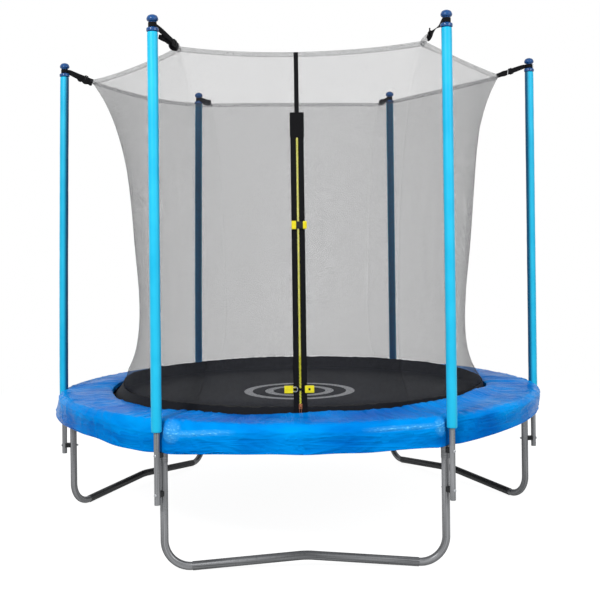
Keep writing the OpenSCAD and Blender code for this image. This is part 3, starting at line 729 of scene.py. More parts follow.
def settle(points):
    """Moves cloth with its corner: slack (1 - angle / 50)^2 a^4, a the share of the height above
    the waist. From the foot band up to the waist, both sides are drawn in by (x / waist)^2,
    and the band's top is tucked in a little more by the left-hand pole."""
    x, y, z = np.moveaxis(points, -1, 0)
    around = np.degrees(np.arctan2(y, x))
    upper, on_band = ramp(z, WAIST_Z, CORNER_Z) ** 4, soft_step(z, 600, BAND_TOP)
    drawn_in = on_band * (1 - soft_step(z, 980, 1450)) * ramp(np.abs(x), 0, WAIST_R) ** 2
    shift = (drawn_in * np.where(x < 0, DRAWN_LEFT, -DRAWN_RIGHT))[..., None] * (1, 0, 0)
    tuck = TUCKED * on_band * (1 - soft_step(z, 672, 750)) * near_angle(around, 188)
    shift = shift - tuck[..., None] * np.stack([x, y, 0 * z], -1) / FOOT_R
    for corner, slack in SLACK.items():
        reach = ramp(np.abs(angle_from(around, corner)), 50, 0) ** 2
        shift = shift + (upper * reach)[..., None] * np.array(slack)
    return points + shift


def side_point(middle, x, z, out):
    """A point at x along a side: y = r + (c cos 30 - r) t^2 + out, with t = 2 x / c, then
    turned to the side's place. The whole net leans a little to the right at its waist."""
    c, r = corner_radius(z), side_radius(middle, z)
    t = 2 * x / c
    y = r + (c * math.cos(math.radians(30)) - r) * t * t + out
    m = math.radians(middle)
    px, py = y * math.cos(m) - x * math.sin(m), y * math.sin(m) + x * math.cos(m)
    px = px + SWAY * np.sin(np.pi * ramp(z, BAND_TOP, CORNER_Z)) * (px / WAIST_R) ** 2
    return settle(np.stack(np.broadcast_arrays(px, py, z), -1))


# %% [markdown]
# ## Net finishes
# The net is a warp knit, whose fine threads run round holes. In the UV map, which is in
# metres along the cloth, the holes are Voronoi cells, and a thread is drawn wherever a
# point is near a cell's edge. The cells are 3 mm wide with threads of half a millimetre,
# coarser than the real knit but with its grey, so one layer lets two thirds of the light
# past. The hem is the same cloth folded over, so it is twice as dense.


# %% [markdown]
# ## Net finishes
# The net is a warp knit, whose fine threads run round holes of 2 to 3 mm. In the UV map,
# which is in metres along the cloth, the holes are Voronoi cells, and a thread is drawn
# wherever a point is near a cell's edge. The cells are 3 mm wide, with threads of 0.3 mm,
# so one layer lets two thirds of the light past. The hem is the same cloth folded over,
# so its two faces are each as dense.

# %% Net materials
def knit(name, dark, light, cell, thread):
    """Mesh cloth: alpha is 1 within a share of a cell's width from the cell's edge."""
    made, tree, shader = new_material(name, 0.7, ior=1.5, gloss=0.12)
    place = add(tree, "TexCoord")
    edges = add(tree, "TexVoronoi", {"Vector": place.outputs["UV"], "Scale": 1 / cell, "Randomness": 0.4},
                feature="DISTANCE_TO_EDGE")
    near = add(tree, "Math", {0: edges.outputs["Distance"], 1: thread}, operation="LESS_THAN")
    tree.links.new(near.outputs[0], shader.inputs["Alpha"])
    cloud = add(tree, "TexNoise", {"Vector": place.outputs["UV"], "Scale": 60.0, "Detail": 2.0})
    tree.links.new(tone(tree, cloud.outputs["Fac"], dark, light, 0.3, 0.7), shader.inputs["Base Color"])
    return made


CELL = 0.003
NET = knit("polyethylene_knitted_net_grey", "#38393D", "#45464B", CELL, 0.081)
HEM = knit("polyethylene_net_folded_hem", "#454649", "#535457", CELL, 0.084)


def follow_mat(made):
    """Bakes a piece's placement into its mesh."""
    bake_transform(made)


def net_side(middle, u, v, hand=0):
    """A side's grid. A whole panel has u from -1 to 1; a door half has u from 0 at the zip."""
    u, v = u[None, :], v[:, None]
    top_half = corner_radius(edge_height(middle, 0)) / 2
    share = u if hand == 0 else ((DOOR_X + hand * 0.4) * (1 - u) + u * hand * top_half) / top_half
    z = NET_LOW + v * (edge_height(middle, share) - HEM_H + 3 - NET_LOW)
    half = corner_radius(z) / 2
    start = 0 if hand == 0 else DOOR_X + hand * np.where(z < PATCH_TOP - 3, TAPE_HALF - 1.5, 0.4)
    x = start + u * ((hand or 1) * half - start)
    gather = 1.6 * np.sin(np.pi * v) * np.sin(x / 21 + 2.2 * np.sin(x / 97 + middle)) * (1 - np.abs(u) ** 6)
    return grid(side_point(middle, x, z, gather), mapped(x, z))


def hang(made):
    """Thickens a net piece and bakes its placement into its mesh."""
    skin = made.modifiers.new("Thread thickness", "SOLIDIFY")
    skin.thickness, skin.offset = 0.0001, 0.0
    follow_mat(made)


panels = [(f"net_side_{k}", f"net_panel_{k}", 1.09,
           net_side(middle, np.linspace(-1, 1, 61), np.linspace(0, 1, 71)))
          for k, middle in enumerate((30, 90, 150, 210, 330), 1)]
low_share = (PATCH_TOP - 4 - NET_LOW) / (edge_height(270, 0) - HEM_H - NET_LOW)
door_v = np.concatenate([np.linspace(0, low_share, 56), np.linspace(low_share + 0.004, 1, 14)])
panels += [(f"net_door_half_{side}", f"net_door_{side}", 0.56,
            net_side(270, np.linspace(0, 1, 34), door_v, hand))
           for hand, side in ((-1, "left"), (1, "right"))]
net_pieces = [(piece(name, cut, NET, stands_for=[node], closed=False), cut, width)
              for name, node, width, cut in panels]

# %% Hem
t = np.linspace(-1, 1, 41)[:-1, None]
hem_profile = slab_profile(HEM_H, 1.4)
hem_rows = []
for middle in (30, 90, 150, 210, 270, 330):
    z = edge_height(middle, t) - HEM_H / 2 + hem_profile[None, :, 0]
    hem_rows.append(side_point(middle, t * corner_radius(z) / 2, z, 0.6 + hem_profile[None, :, 1]))
hem_points = looped(np.concatenate(hem_rows))
hem_uv = mapped(np.linspace(0, 6400, len(hem_points))[:, None],
                np.linspace(0, 2 * HEM_H, len(hem_profile))[None])
piece("net_hem", grid(hem_points, hem_uv), HEM, "frame", ["net_top_hem"])

# %% [markdown]
# ## The net's foot
# A black woven band joins the net to the mat. It is gathered slightly, so its upper edge
# waves, and a flange of it is sewn down flat on the mat. Its section is one closed
# profile, carried round the circle while the upright part's height ripples.

# %% Webbing and foot band
def webbing(name, dark, light, rib, roughness=0.62):
    """Woven polypropylene tape: a rib across it every rib metres, with a darker gap between."""
    made, tree, shader = new_material(name, roughness, ior=1.49, gloss=0.06)
    place = add(tree, "TexCoord")
    spread = add(tree, "Mapping", {"Vector": place.outputs["UV"], "Scale": (1 / rib, 1 / rib, 1)})
    ribs = add(tree, "TexWave", {"Vector": spread, "Scale": 0.5, "Distortion": 0.6},
               bands_direction="X")
    fuzz = add(tree, "TexNoise", {"Vector": place.outputs["Object"], "Scale": 300.0, "Detail": 2.0})
    both = add(tree, "Math", {0: ribs.outputs["Fac"], 1: fuzz.outputs["Fac"]}, operation="MULTIPLY")
    tree.links.new(tone(tree, both, dark, light, 0.1, 0.6), shader.inputs["Base Color"])
    bump(tree, shader, ribs.outputs["Fac"], 0.0006, 0.6)
    return made


WEBBING = webbing("polypropylene_webbing_black", "#0A0A0B", "#1D1D20", 0.004)
BAND = webbing("polypropylene_gathered_band_black", "#171718", "#2F2F31", 0.005)
TAPE = webbing("polyester_zip_tape_black", "#0C0C0E", "#1D1D20", 0.003)

turn = full_turn(720)[:, None]
wave, ruffle = (ripple(turn / (2 * np.pi), 0 * turn, count, 1, seed) for count, seed in ((90, 7), (340, 8)))
wave = 1.6 * wave + 2.2 * ruffle
band_profile = np.array([(-22, 0), (1.4, 0), (1.4, 20), (1.3, 40), (1.2, 60), (1.0, 71.5), (0, 72),
                         (-1.0, 71.5), (-1.2, 60), (-1.3, 40), (-1.4, 20), (-1.4, 3), (-2.4, 1.8), (-22, 1.8),
                         (-22, 0)], float)
out, up = band_profile.T[:, None]
lift = np.clip(up - 40, 0, None) / 32
raised = 9 * near_angle(np.degrees(turn), 162)
r = FOOT_R + out + lift * 0.35 * np.roll(wave, 5)
band_points = settle(np.stack([r * np.cos(turn), r * np.sin(turn), 600.9 + up + lift * (wave + raised)], -1))
piece("net_foot_band", grid(band_points, mapped(turn * FOOT_R, lengths(band_profile)[None])), BAND,
      "jumping_mat", ["net_bottom_band"])
for made, cut, width in net_pieces:
    hang(made)

# %% [markdown]
# ## The straps
# Flat webbing loops round each cap's neck and runs in to a corner of the net. Each was
# threaded and knotted by hand, so no two are alike: one is doubled with a ragged lower
# layer, one is twisted edge on with its tail standing up. Each layer is a flat profile
# swept through a few points. A point is given by its distance in from the pole's axis,
# its distance sideways and its height above the strap's own falling line.

# %% Ribbons
STRAP_Z, STRAP_BEND = 2305.5, 27.0
FALL = math.atan((STRAP_Z - CORNER_Z) / (POLE_R - CORNER_R - STRAP_BEND))


def ribbon(rows, thick=1.8):
    """A flat layer. A row is (in, sideways, up, width, twist): the strap's line falls by
    tan(fall) 4 ln(1 + e^((in - 27) / 4)), and a twist of 0 stands on edge, 90 lies flat."""
    rows = smooth(np.array(rows, float), 8, ring=False)
    inward, aside, up, width, twist = rows.T
    line = STRAP_Z - np.log1p(np.exp((inward - STRAP_BEND) / 4)) * 4 * math.tan(FALL)
    a = np.radians(twist)
    path = np.column_stack([POLE_R - inward, aside, line + up])
    return sweep(path, np.stack([0 * a, np.sin(a), np.cos(a)], -1), slab_profile(width.max(), thick),
                 width / width.max())


def neck_loop(width, thick=1.8):
    """The loop round a cap's neck, a flat band of a turned profile."""
    profile = slab_profile(thick, width)
    return lathe(np.column_stack([17.4 + profile[:, 0], STRAP_Z + 1 + profile[:, 1]]), 48, (POLE_R, 0))


def tied(block, i):
    """A strap turned to its pole: its outer end leans with the cap, its inner end sinks with
    the net's corner, and the points between share both moves."""
    share = ramp(block[0][:, 0], POLE_R - 20, CORNER_R)[:, None]
    points, faces, uv = turned(block, 60 * (i - 1))
    corner = np.array(SLACK.get(60 * (i - 1), (0.0, 0.0, 0.0)))
    return points + (lean(points, i) - points) * (1 - share) + corner * share, faces, uv


# %% Straps
# pole: layers, each a list of (in, sideways, up, width, twist)
STRAPS = {
    1: [[(12, 0, 0, 20, 0), (60, 0, 0, 25, 3), (100, 0, 0, 26, 6), (150, 0, 1, 25, 8), (172, 0, 2, 23, 8)],
        [(88, -3.5, 1, 24, 4), (104, -4, 0, 29, 8), (111, -4, 0, 27, 8)],
        [(118, -4, 0, 24, 4), (132, -4, 0, 29, -6), (148, -3, 1, 26, 4), (162, -3, 2, 20, 6)]],
    2: [[(12, 0, 0, 20, 0), (50, 0, -3, 22, 10), (90, 0, -4, 26, 16), (128, 0, -2, 36, 6),
         (160, 0, 5, 26, 0)],
        [(150, 3, -3, 20, 20), (118, 4, -8, 22, 20), (86, 5, -12, 16, 40)]],
    3: [[(12, 0, 0, 22, 0), (50, 0, -2, 30, -8), (100, 0, -4, 38, -12), (140, 0, 2, 36, -8),
         (162, 0, 8, 24, -8)],
        [(150, -3, -2, 22, -20), (118, -4, -9, 24, -20), (82, -5, -12, 18, -40)]],
    4: [[(12, 0, -2, 24, 0), (50, 0, -5, 29, -4), (90, 0, -6, 32, -8), (130, 0, -6, 34, -6),
         (172, 0, -4, 30, -8)],
        [(170, 3, -9, 32, 0), (160, 3, -10, 36, 0), (146, 3.5, -12, 28, 12), (128, 4, -14, 37, -16),
         (110, 4, -12, 28, 18), (94, 4, -15, 32, 0), (80, 4, -10, 20, 10)]],
    5: [[(12, 0, -1, 20, 0), (50, 0, 0, 26, 3), (100, 0, 1, 27, -4), (160, 0, 3, 22, -6)],
        [(118, -4, -10, 16, 0), (104, -4, -14, 24, 10), (84, -5, -18, 26, -10), (62, -5, -24, 24, 14),
         (46, -6, -30, 18, 20)],
        [(126, -6, 0, 22, 12), (135, -7, -9, 40, 30), (148, -6, -6, 44, -16), (158, -3, -2, 36, 10),
         (165, -2, 0, 18, 10)]],
    6: [[(10, 0, 2, 34, 0), (28, 0, -2, 34, 5), (46, 0, -3, 24, 20), (66, 0, -1, 13, 40), (86, 0, -1, 18, 20),
         (104, 0, -4, 31, 4), (122, 0, -7, 34, 0), (134, 0, -8, 24, 0)],
        [(130, -2, -8, 24, 0), (120, -4, 2, 20, 10), (113, -4, 14, 16, 20), (109, -4, 25, 13, 30)]],
}
for i, layers in STRAPS.items():
    made = joined(neck_loop(20), *[ribbon(rows) for rows in layers])
    piece(f"net_strap_{i}", tied(made, i), WEBBING, "frame", [f"corner_strap_{i}"])

# %% [markdown]
# At four corners a grey loop of folded net takes the strap's inner end. It is long at one,
# where the strap is short, and hardly shows at the others.

# %% Corner loops
REACH = {2: 8, 3: 8, 5: 8, 6: 38}
loops = [tied(ribbon([(153 - reach, 1, 2, 14, 20), (157 - reach / 2, 1, 1, 22 + reach / 2.5, 12),
                      (163, 0, -4, 22 + reach / 2, 6), (176, 0, -12, 20 + reach / 2.5, 0)], 3.0), i)
         for i, reach in REACH.items()]
piece("net_corner_loops", joined(*loops), HEM, "frame")

# %% [markdown]
# A ladder lock, a small black moulded buckle, holds each strap's doubled end by the net.
# It is a rounded bar carried round a rectangle, with two more bars across its middle. Two
# bright slide bars show at the right-hand pole.

# %% Buckles
LOCK_WIDTH, LOCK_HEIGHT, LOCK_CORNER, LOCK_BAR = 20, 29, 4.0, 4.6
# pole: the buckle's distance along the strap
LOCK_AT = {1: 76, 2: 100, 3: 100, 4: 112, 5: 116, 6: 92}


def ladder_lock(at):
    """A rounded rectangular frame and its two bars, set on the strap at a distance."""
    w, h = LOCK_WIDTH / 2 - LOCK_CORNER, LOCK_HEIGHT / 2 - LOCK_CORNER
    rectangle = looped(np.concatenate([arc(cx, cy, LOCK_CORNER, start, start + 90, 5) for cx, cy, start in (
        (w, h, 0), (-w, h, 90), (-w, -h, 180), (w, -h, 270))]))
    body = sweep(in_plane(rectangle, 0), (0, 1, 0), slab_profile(5.4, LOCK_BAR, 3, 12), ring=True)
    reach = LOCK_HEIGHT / 2 - 2
    bar = sweep([(0, 0, -reach), (0, 0, 0), (0, 0, reach)], (0, 1, 0), slab_profile(4.4, LOCK_BAR, 3, 12))
    points, faces, uv = joined(body, moved(bar, (-3.5, 1.8, 0)), moved(bar, (4.5, -1.6, 0)))
    c, s = math.cos(FALL), math.sin(FALL)
    x, y, z = points.T
    return np.column_stack([POLE_R - STRAP_BEND - (at + x) * c - z * s, y,
                            STRAP_Z - (at + x) * s + z * c]), faces, uv


locks = joined(*[tied(ladder_lock(at), i) for i, at in LOCK_AT.items()])
piece("ladder_locks", locks, black_plastic, "frame", ["strap_buckles"])
inner_bar = ribbon([(114, -6, 13, 3, 90), (115, -6.5, 0, 3, 90), (116, -6, -13, 3, 90)], 3.0)
outer_path = np.array([(20, -2, -11), (20.6, -2, 0), (20, -2, 13)]) + (POLE_R, 0, STRAP_Z)
outer_bar = sweep(outer_path, (0, 1, 0), slab_profile(6, 5.5, 3, 12))
piece("strap_slide_bars", tied(joined(inner_bar, outer_bar), 1), ZINC, "frame")

# %% [markdown]
# ## The door
# A zip with yellow coil teeth closes the two halves of the net, between black tapes. A
# sewn patch and a strap carry its upper end from the hem. All of it lies in the door's
# own leaning plane, so each part is a block or a row in that plane, moved onto it.

# %% The door's plane
def on_door(block):
    """From the door's plane (x across, n outwards, up along the zip) to the net's front."""
    x, n, up = block[0].T
    c, s = math.cos(DOOR_LEAN), math.sin(DOOR_LEAN)
    points = np.column_stack([DOOR_X + x, -FOOT_R - n * c + up * s, BAND_TOP + up * c + n * s])
    return points, block[1], block[2]


def up_door(z):
    """Distance along the zip to a height."""
    return (z - BAND_TOP) / math.cos(DOOR_LEAN)


def strip(x0, x1, n, low, high, thick=1.5, steps=60):
    """A flat tape standing on the door's plane."""
    z = np.linspace(low, high, steps)
    path = np.column_stack([np.full(steps, (x0 + x1) / 2), np.full(steps, n), z])
    return sweep(path, (1, 0, 0), slab_profile(x1 - x0, thick))


ZIP_LOW, ZIP_HIGH = up_door(680.0), up_door(1846.0)
tapes = joined(*[strip(x0, x1, n, low, high) for x0, x1 in ((-TAPE_HALF, -2.6), (2.6, TAPE_HALF))
                 for n, low, high in ((0.8, 2, up_door(1942)), (2.5, -52, 6))])
zip_tapes = piece("zip_tapes", on_door(tapes), TAPE, stands_for=["zip_tape"])

# %% Zip teeth
zip_yellow = mottled("nylon_coil_zip_yellow", 0.38, "#C4C020", "#E6E03C", 90.0, ior=1.53, gloss=0.3)
PITCH = 3.2
count = int((ZIP_HIGH - ZIP_LOW) / PITCH)
right_tooth = sweep([(-5, 0, -0.3), (-3.2, 0.5, 0.1), (0.6, 0.5, 0.3), (1.0, 0, 0.3)], (0, 0, 1),
                    slab_profile(2.3, 1.9, 2.5, 8))
left_tooth = (right_tooth[0] * (-1, 1, 1),) + right_tooth[1:]
coil = joined(*[moved((left_tooth, right_tooth)[k % 2], (0, 2.7, ZIP_LOW + PITCH * k)) for k in range(count)])
core = strip(-1.6, 1.6, 2.3, ZIP_LOW, ZIP_HIGH, 1.2, 40)
zip_coil = piece("zip_coil", on_door(joined(coil, core)), zip_yellow, stands_for=["zip_chain"])
for made in (zip_tapes, zip_coil):
    follow_mat(made)

# %% [markdown]
# The slider is die-cast zinc in a worn copper colour. Its body is a rounded shield with two
# cheeks and a bridge, and its pull is a long flat ring that hangs by the foot band.

# %% Slider
copper = mottled("die_cast_zinc_copper_plated", 0.36, "#7A4630", "#B4764E", 260.0, 3.0, 0.35, metallic=0.85)
slider_z = ZIP_LOW - 14
s = np.linspace(0, 1, 16)
zero = 0 * s
shield = sweep(np.column_stack([zero, zero + 5.4, slider_z + 22 * s]), (1, 0, 0),
               slab_profile(15, 1.7, 5), 0.62 + 0.38 * np.sin(np.pi * (0.12 + 0.76 * s)) ** 0.6)
cheeks = [sweep(np.column_stack([zero + x, zero + 4.0, slider_z + 2 + 18 * s]), (1, 0, 0),
                slab_profile(1.8, 4.0, 4)) for x in (-6.4, 6.4)]
hoop = sweep(np.column_stack([zero, 5.2 + 2.4 * np.sin(np.pi * s), slider_z + 4 + 13 * s]), (1, 0, 0),
             slab_profile(3.4, 1.4, 3))
pull_line = looped(np.concatenate([arc(0, slider_z - 2, 4.6, 0, 180, 12),
                                   arc(0, slider_z - 15, 3.6, 180, 360, 12)]))
pull = sweep(in_plane(pull_line, 5.6), (0, 1, 0), slab_profile(1.5, 2.2, 3, 10), ring=True)
piece("zip_slider_body", on_door(joined(shield, *cheeks, hoop, pull)), copper, "zip_slider",
      ["zip_slider"])

# %% Patch and strap above the zip
patch = strip(-31, 31, 2.6, ZIP_HIGH, up_door(PATCH_TOP) + 8, 1.5, 30)
riser = strip(-10, 10, 2.7, up_door(PATCH_TOP) - 12, up_door(edge_height(270, 0) - 4), 1.5, 40)
piece("door_patch_and_strap", on_door(joined(patch, riser)), WEBBING, "frame",
      ["door_strap"])

# %% [markdown]
# ## The clasps
# Two yellow side-release clasps back up the zip. The sockets are hollow CAD shapes with
# eased edges. Each plug on the other side is a rounded block whose webbing reaches over the
# zip. The keeper and the wire ring are a block and a bent wire. Thin black patches on the
# lower plug stand for its two slots, as the webbing inside and painted shade, and for its
# window, as painted shade.

# %% Clasps
clasp_plastic = mottled("acetal_moulded_yellow", 0.3, "#D8C812", "#EEDF26", 70.0, ior=1.48, gloss=0.35)
# along a block: share of its length, share of its section
ROUNDED = np.array([(0, 0.82), (0.04, 0.96), (0.1, 1), (0.35, 1), (0.65, 1), (0.9, 1), (0.96, 0.96),
                    (1, 0.82)])
# clasp: height, the plug's ends in x, half its height, the webbing's end, half the webbing's width
CLASPS = {"upper": (1461, 21, 38, 17, -24, 13.4), "lower": (750, 20, 60, 16, -58, 5)}


def door_block(height, x, n, half, power=6):
    """A rounded block of the door's plane, from end to end in x and n, around a height."""
    share, grow = ROUNDED.T
    path = np.column_stack([x[0] + (x[1] - x[0]) * share, np.full(8, (n[0] + n[1]) / 2), np.zeros(8)])
    made = sweep(path, (0, 0, 1), slab_profile(2 * half, n[1] - n[0], power), grow)
    return on_door(moved(made, (0, 0, up_door(height))))


for name in CLASPS:
    refined(f"clasp_{name}_socket_body", f"clasp_{name}_socket", clasp_plastic, "frame",
            bevel=0.0016)
for name, (height, x0, x1, half, reach, half_web) in CLASPS.items():
    body = f"clasp_{name}_tongue"
    piece(f"clasp_{name}_plug", door_block(height, (x0, x1), (2.2, 12.6), half), clasp_plastic,
          body, [body])
    piece(f"clasp_{name}_webbing", door_block(height, (reach, x0 + 2), (8.1, 10.5), half_web), WEBBING,
          body)
UPPER, LOWER = CLASPS["upper"][0], CLASPS["lower"][0]
piece("clasp_upper_keeper", door_block(UPPER, (-8.2, 20.6), (8.0, 11.4), 16), black_plastic,
      "clasp_upper_tongue")
# painted shade: thin black patches for the two slots' openings, with the webbing inside
slots = joined(*[door_block(LOWER, (x - 2, x + 2), (11.6, 12.9), 8) for x in (-58, -47)])
piece("clasp_lower_slots", slots, black_plastic, "frame")
t = full_turn(32)
wire_ring = sweep(np.column_stack([-22 + 10 * np.cos(t), 0 * t + 9.8, up_door(LOWER) + 11 * np.sin(t)]),
                  (0, 1, 0), circle(1.3, 10), ring=True)
piece("clasp_lower_d_ring", on_door(wire_ring), ZINC, "clasp_lower_tongue")
# painted shade: a thin black patch for the window's opening
piece("clasp_lower_window", door_block(LOWER, (35, 44), (12.2, 12.9), 5), black_plastic,
      "clasp_lower_tongue")

# %% [markdown]
# ## The jumping mat
# The mat is tightly woven black polypropylene, cut round, folded over a band at its edge
# and sewn with several rows of stitches. It is one thin turned disc. The weave is two
# crossed waves in object space, and a plain pale target of rings is printed at the centre.

# %% Mat finish
# printed rings: radius and half the line's width, in metres; the last is the full disc
TARGET = ((0.27, 0.022), (0.16, 0.022), (0.0, 0.06))
mat_weave, tree, shader = new_material("polypropylene_woven_mat_black", 0.6, ior=1.49, gloss=0.06)
place = add(tree, "TexCoord")
weave = threads(tree, place.outputs["Object"], 0.006)
cloud = add(tree, "TexNoise", {"Vector": place.outputs["Object"], "Scale": 5.0, "Detail": 4.0})
both = add(tree, "Mix", {0: 0.45, 2: cloud.outputs["Fac"], 3: weave})
fabric = tone(tree, both, "#0B0B0B", "#171717", 0.2, 0.7)
split = add(tree, "SeparateXYZ", {0: place.outputs["Object"]})
on_plane = add(tree, "CombineXYZ", {0: split.outputs[0], 1: split.outputs[1]})
away = add(tree, "VectorMath", {0: on_plane}, operation="LENGTH")
ink = None
for radius, half_width in TARGET:
    off = distance_from(tree, away.outputs["Value"], radius)
    line = add(tree, "Math", {0: off, 1: half_width}, operation="LESS_THAN")
    ink = add(tree, "Math", {0: ink, 1: line}, operation="MAXIMUM") if ink else line
printed = add(tree, "Mix", {0: ink, 6: fabric, 7: linear("#B9B9BA")}, data_type="RGBA")
tree.links.new(printed.outputs[2], shader.inputs["Base Color"])
bump(tree, shader, weave, 0.0005, 0.5)

# %% Mat
MAT_R, MAT_Z, HALF_THICK, STITCH = 1003.0, 600.0, 0.8, 0.35
radii = np.concatenate([[0], np.linspace(60, 900, 15),
                        [940, 952, 955, 958, 966, 969, 972, 985, 988, 991, 1000]])
face = np.column_stack([radii, HALF_THICK - STITCH * np.isin(radii, (955, 969, 988))])
back = np.column_stack([radii[::-1], np.full(len(radii), -HALF_THICK)])
mat_profile = np.concatenate([face, [(MAT_R, 0.4), (MAT_R, -0.4)], back]) + (0, MAT_Z)
mat = piece("woven_mat", lathe(mat_profile, 180), mat_weave, "jumping_mat", ["mat"])

# %% [markdown]
# ## Mat edge, V-rings and springs
# Under the mat's edge runs a doubled band, with 48 webbing tabs. Each tab holds a triangular
# steel ring, and a coil spring pulls from each ring to a hole in the ring tube. A tab is
# a flat strip that loops round the V-ring's base. The V-ring is a wire along a rounded
# triangle. The spring is a true helix whose last turns shrink to its hooks.

# %% Mat edge and tabs
STEPS = (np.arange(48) + 0.5) * 7.5
edge_band = lathe([(968, 597.3), (1002.8, 597.3), (1003, 598.2), (1002.8, 599.1), (968, 599.1),
                   (968, 597.3)], 180)
tab_path = np.concatenate([[(985, 596.6), (996, 596.6), (1006, 596.7)], arc(1014, 600, 3.2, 262, 458, 12),
                           [(1006, 603.2), (998, 601.9), (985, 601.7)]])
tab = sweep(in_plane(tab_path, 0), (0, 1, 0), slab_profile(30, 1.2, 8, 16))
piece("mat_edge_and_tabs", joined(edge_band, turned(tab, STEPS)), WEBBING, "jumping_mat",
      ["mat_edge_band"])

# %% V-rings
WIRE_BEND = 4.0
spring_steel = steel("spring_steel_zinc_plated", "#7C7F83", "#B3B5B8", 0.3)
tips = np.array([(1014, -21), (1014, 21), (1044, 0)], float)
mids = (tips + np.roll(tips, -1, 0)) / 2
s = np.linspace(0, 1, 6)[:, None]
sides = []
for k, tip in enumerate(tips):
    before, after = (tip + (mid - tip) * min(1, WIRE_BEND / np.linalg.norm(mid - tip))
                     for mid in (mids[k - 1], mids[k]))
    sides += [mids[k - 1][None], (1 - s) ** 2 * before + 2 * s * (1 - s) * tip + s ** 2 * after]
v_path = looped(np.concatenate(sides))
v_ring = sweep(np.column_stack([v_path, np.full(len(v_path), MAT_Z)]), (0, 0, 1), circle(2.0, 10), ring=True)
piece("v_ring_links", turned(v_ring, STEPS), spring_steel, "jumping_mat", ["v_rings"])

# %% Springs
TURNS, COIL_R, COIL_0, COIL_1 = 15, 8.4, 1066.0, 1158.0
s = np.linspace(0, 1, TURNS * 12 + 1)
coil_r = COIL_R * (1 - 0.55 * ramp(np.abs(s - 0.5), 0.44, 0.5) ** 2)
spin = 2 * np.pi * TURNS * s
helix = np.column_stack([COIL_0 + (COIL_1 - COIL_0) * s, coil_r * np.cos(spin), coil_r * np.sin(spin)])
eye = in_plane(arc(1045.5, 0, 6.0, 20, 330, 14)[::-1], 0)
hook = np.array([(1166, 0, 0), (1180, 0, 0), (1184.5, 0, -0.5), (1186, 0, -3), (1186, 0, -8)], float)
wire_path = np.concatenate([eye, [(1058, 0, 0)], helix, hook]) + (0, 0, MAT_Z)
spring = sweep(wire_path, (0.3, 0.2, 0.93), circle(1.6, 6))
for k, a in enumerate(STEPS):
    made = piece(f"coil_spring_{k + 1:02d}", turned(spring, a), spring_steel,
                 stands_for=["springs"] if k == 0 else ())
    c, s = math.cos(math.radians(a)), math.sin(math.radians(a))
    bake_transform(made)

# %% [markdown]
# ## The spring pad
# The pad is closed-cell foam sheet in a bright blue PVC-coated cover, with a skirt that
# hangs outside the ring and is pinched in behind each pole. A cloth simulation of a ring
# seven metres round would take too long, so its form is one closed section, carried
# round the circle, and its creases are worked out: slow swells, ridged folds where two
# noises cross zero, radial puckers by the poles and a wave along the skirt's edge.
# Finer crumples are ridged noise in the UV map, drawn out across the top and along the
# skirt. Painted light and shade give the top, the roll and the hanging skirt a tone of blue
# each, the roll palest, and the creases are painted lighter and darker. Small pale flecks
# along the roll and by the front poles are painted glints. The mirror gloss is faint and
# blue, because the worn coating scatters most of the light.

# %% Pad finish
# distances across the cover in the UV map, in metres from the inner edge
TOP_END, ROLL_START, ROLL_MIDDLE, ROLL_END, SKIRT_START = 0.235, 0.268, 0.299, 0.306, 0.345
# x, y, z and reach of the places with painted glints, in metres
GLINTS_ON_ROLL = ((-0.47, -1.15, 0.61, 0.2), (0.42, -1.17, 0.63, 0.2))
GLINTS_BY_POLES = ((-0.57, -1.11, 0.605, 0.06), (0.58, -1.1, 0.605, 0.045))
vinyl, tree, shader = new_material("pvc_coated_tarpaulin_blue", 0.26, ior=1.52, gloss=0.015)
shader.inputs["Specular Tint"].default_value = linear("#3CB4FF")
place = add(tree, "TexCoord")
across = add(tree, "SeparateXYZ", {0: place.outputs["UV"]}).outputs[1]
FALLING = {"To Min": 1.0, "To Max": 0.0}


def folds(turned_by, width, length, seed):
    """Ridged noise in the UV map: 1 where a noise crosses its middle, so ridges are thin and
    long. width and length are a fold's size round the ring and across the pad, in metres."""
    spread = add(tree, "Mapping", {"Vector": place.outputs["UV"], "Location": (seed, seed, 0),
                                   "Rotation": (0, 0, turned_by), "Scale": (1 / width, 1 / length, 1)})
    waves = add(tree, "TexNoise", {"Vector": spread, "Scale": 1.0, "Detail": 3.0,
                                   "Distortion": 0.8})
    off = distance_from(tree, waves.outputs["Fac"], 0.5)
    return add(tree, "MapRange", {"Value": off, "From Max": 0.22, **FALLING})


def near(points):
    """1 inside half the reach of any of the points (x, y, z, reach), 0 beyond the reach."""
    best = 0.0
    for x, y, z, reach in points:
        off = add(tree, "VectorMath", {0: place.outputs["Object"], 1: (x, y, z)}, operation="DISTANCE")
        inside = add(tree, "MapRange", {"Value": off.outputs["Value"], "From Min": reach / 2,
                                        "From Max": reach, **FALLING})
        best = add(tree, "Math", {0: inside, 1: best}, operation="MAXIMUM")
    return best


# folds run along the skirt, and across the top from the net to the roll
hanging = add(tree, "Mix", {0: 0.35, 2: folds(0.2, 0.5, 0.1, 0.0), 3: folds(-0.6, 0.22, 0.075, 5.0)})
on_top, off_skirt = (add(tree, "MapRange", {"Value": across, "From Min": start, "From Max": end, **FALLING},
                         interpolation_type="SMOOTHSTEP")
                     for start, end in ((TOP_END, ROLL_START), (ROLL_END, SKIRT_START)))
shallow = add(tree, "Math", {0: folds(0.3, 0.07, 0.32, 9.0), 1: 0.6}, operation="MULTIPLY")
creases = add(tree, "Mix", {0: on_top, 2: hanging, 3: shallow})
crumple = add(tree, "TexNoise", {"Vector": place.outputs["Object"], "Scale": 45.0, "Detail": 3.0})
relief = add(tree, "Mix", {0: 0.12, 2: creases, 3: crumple.outputs["Fac"]})
bump(tree, shader, relief, 0.007, 1.0)
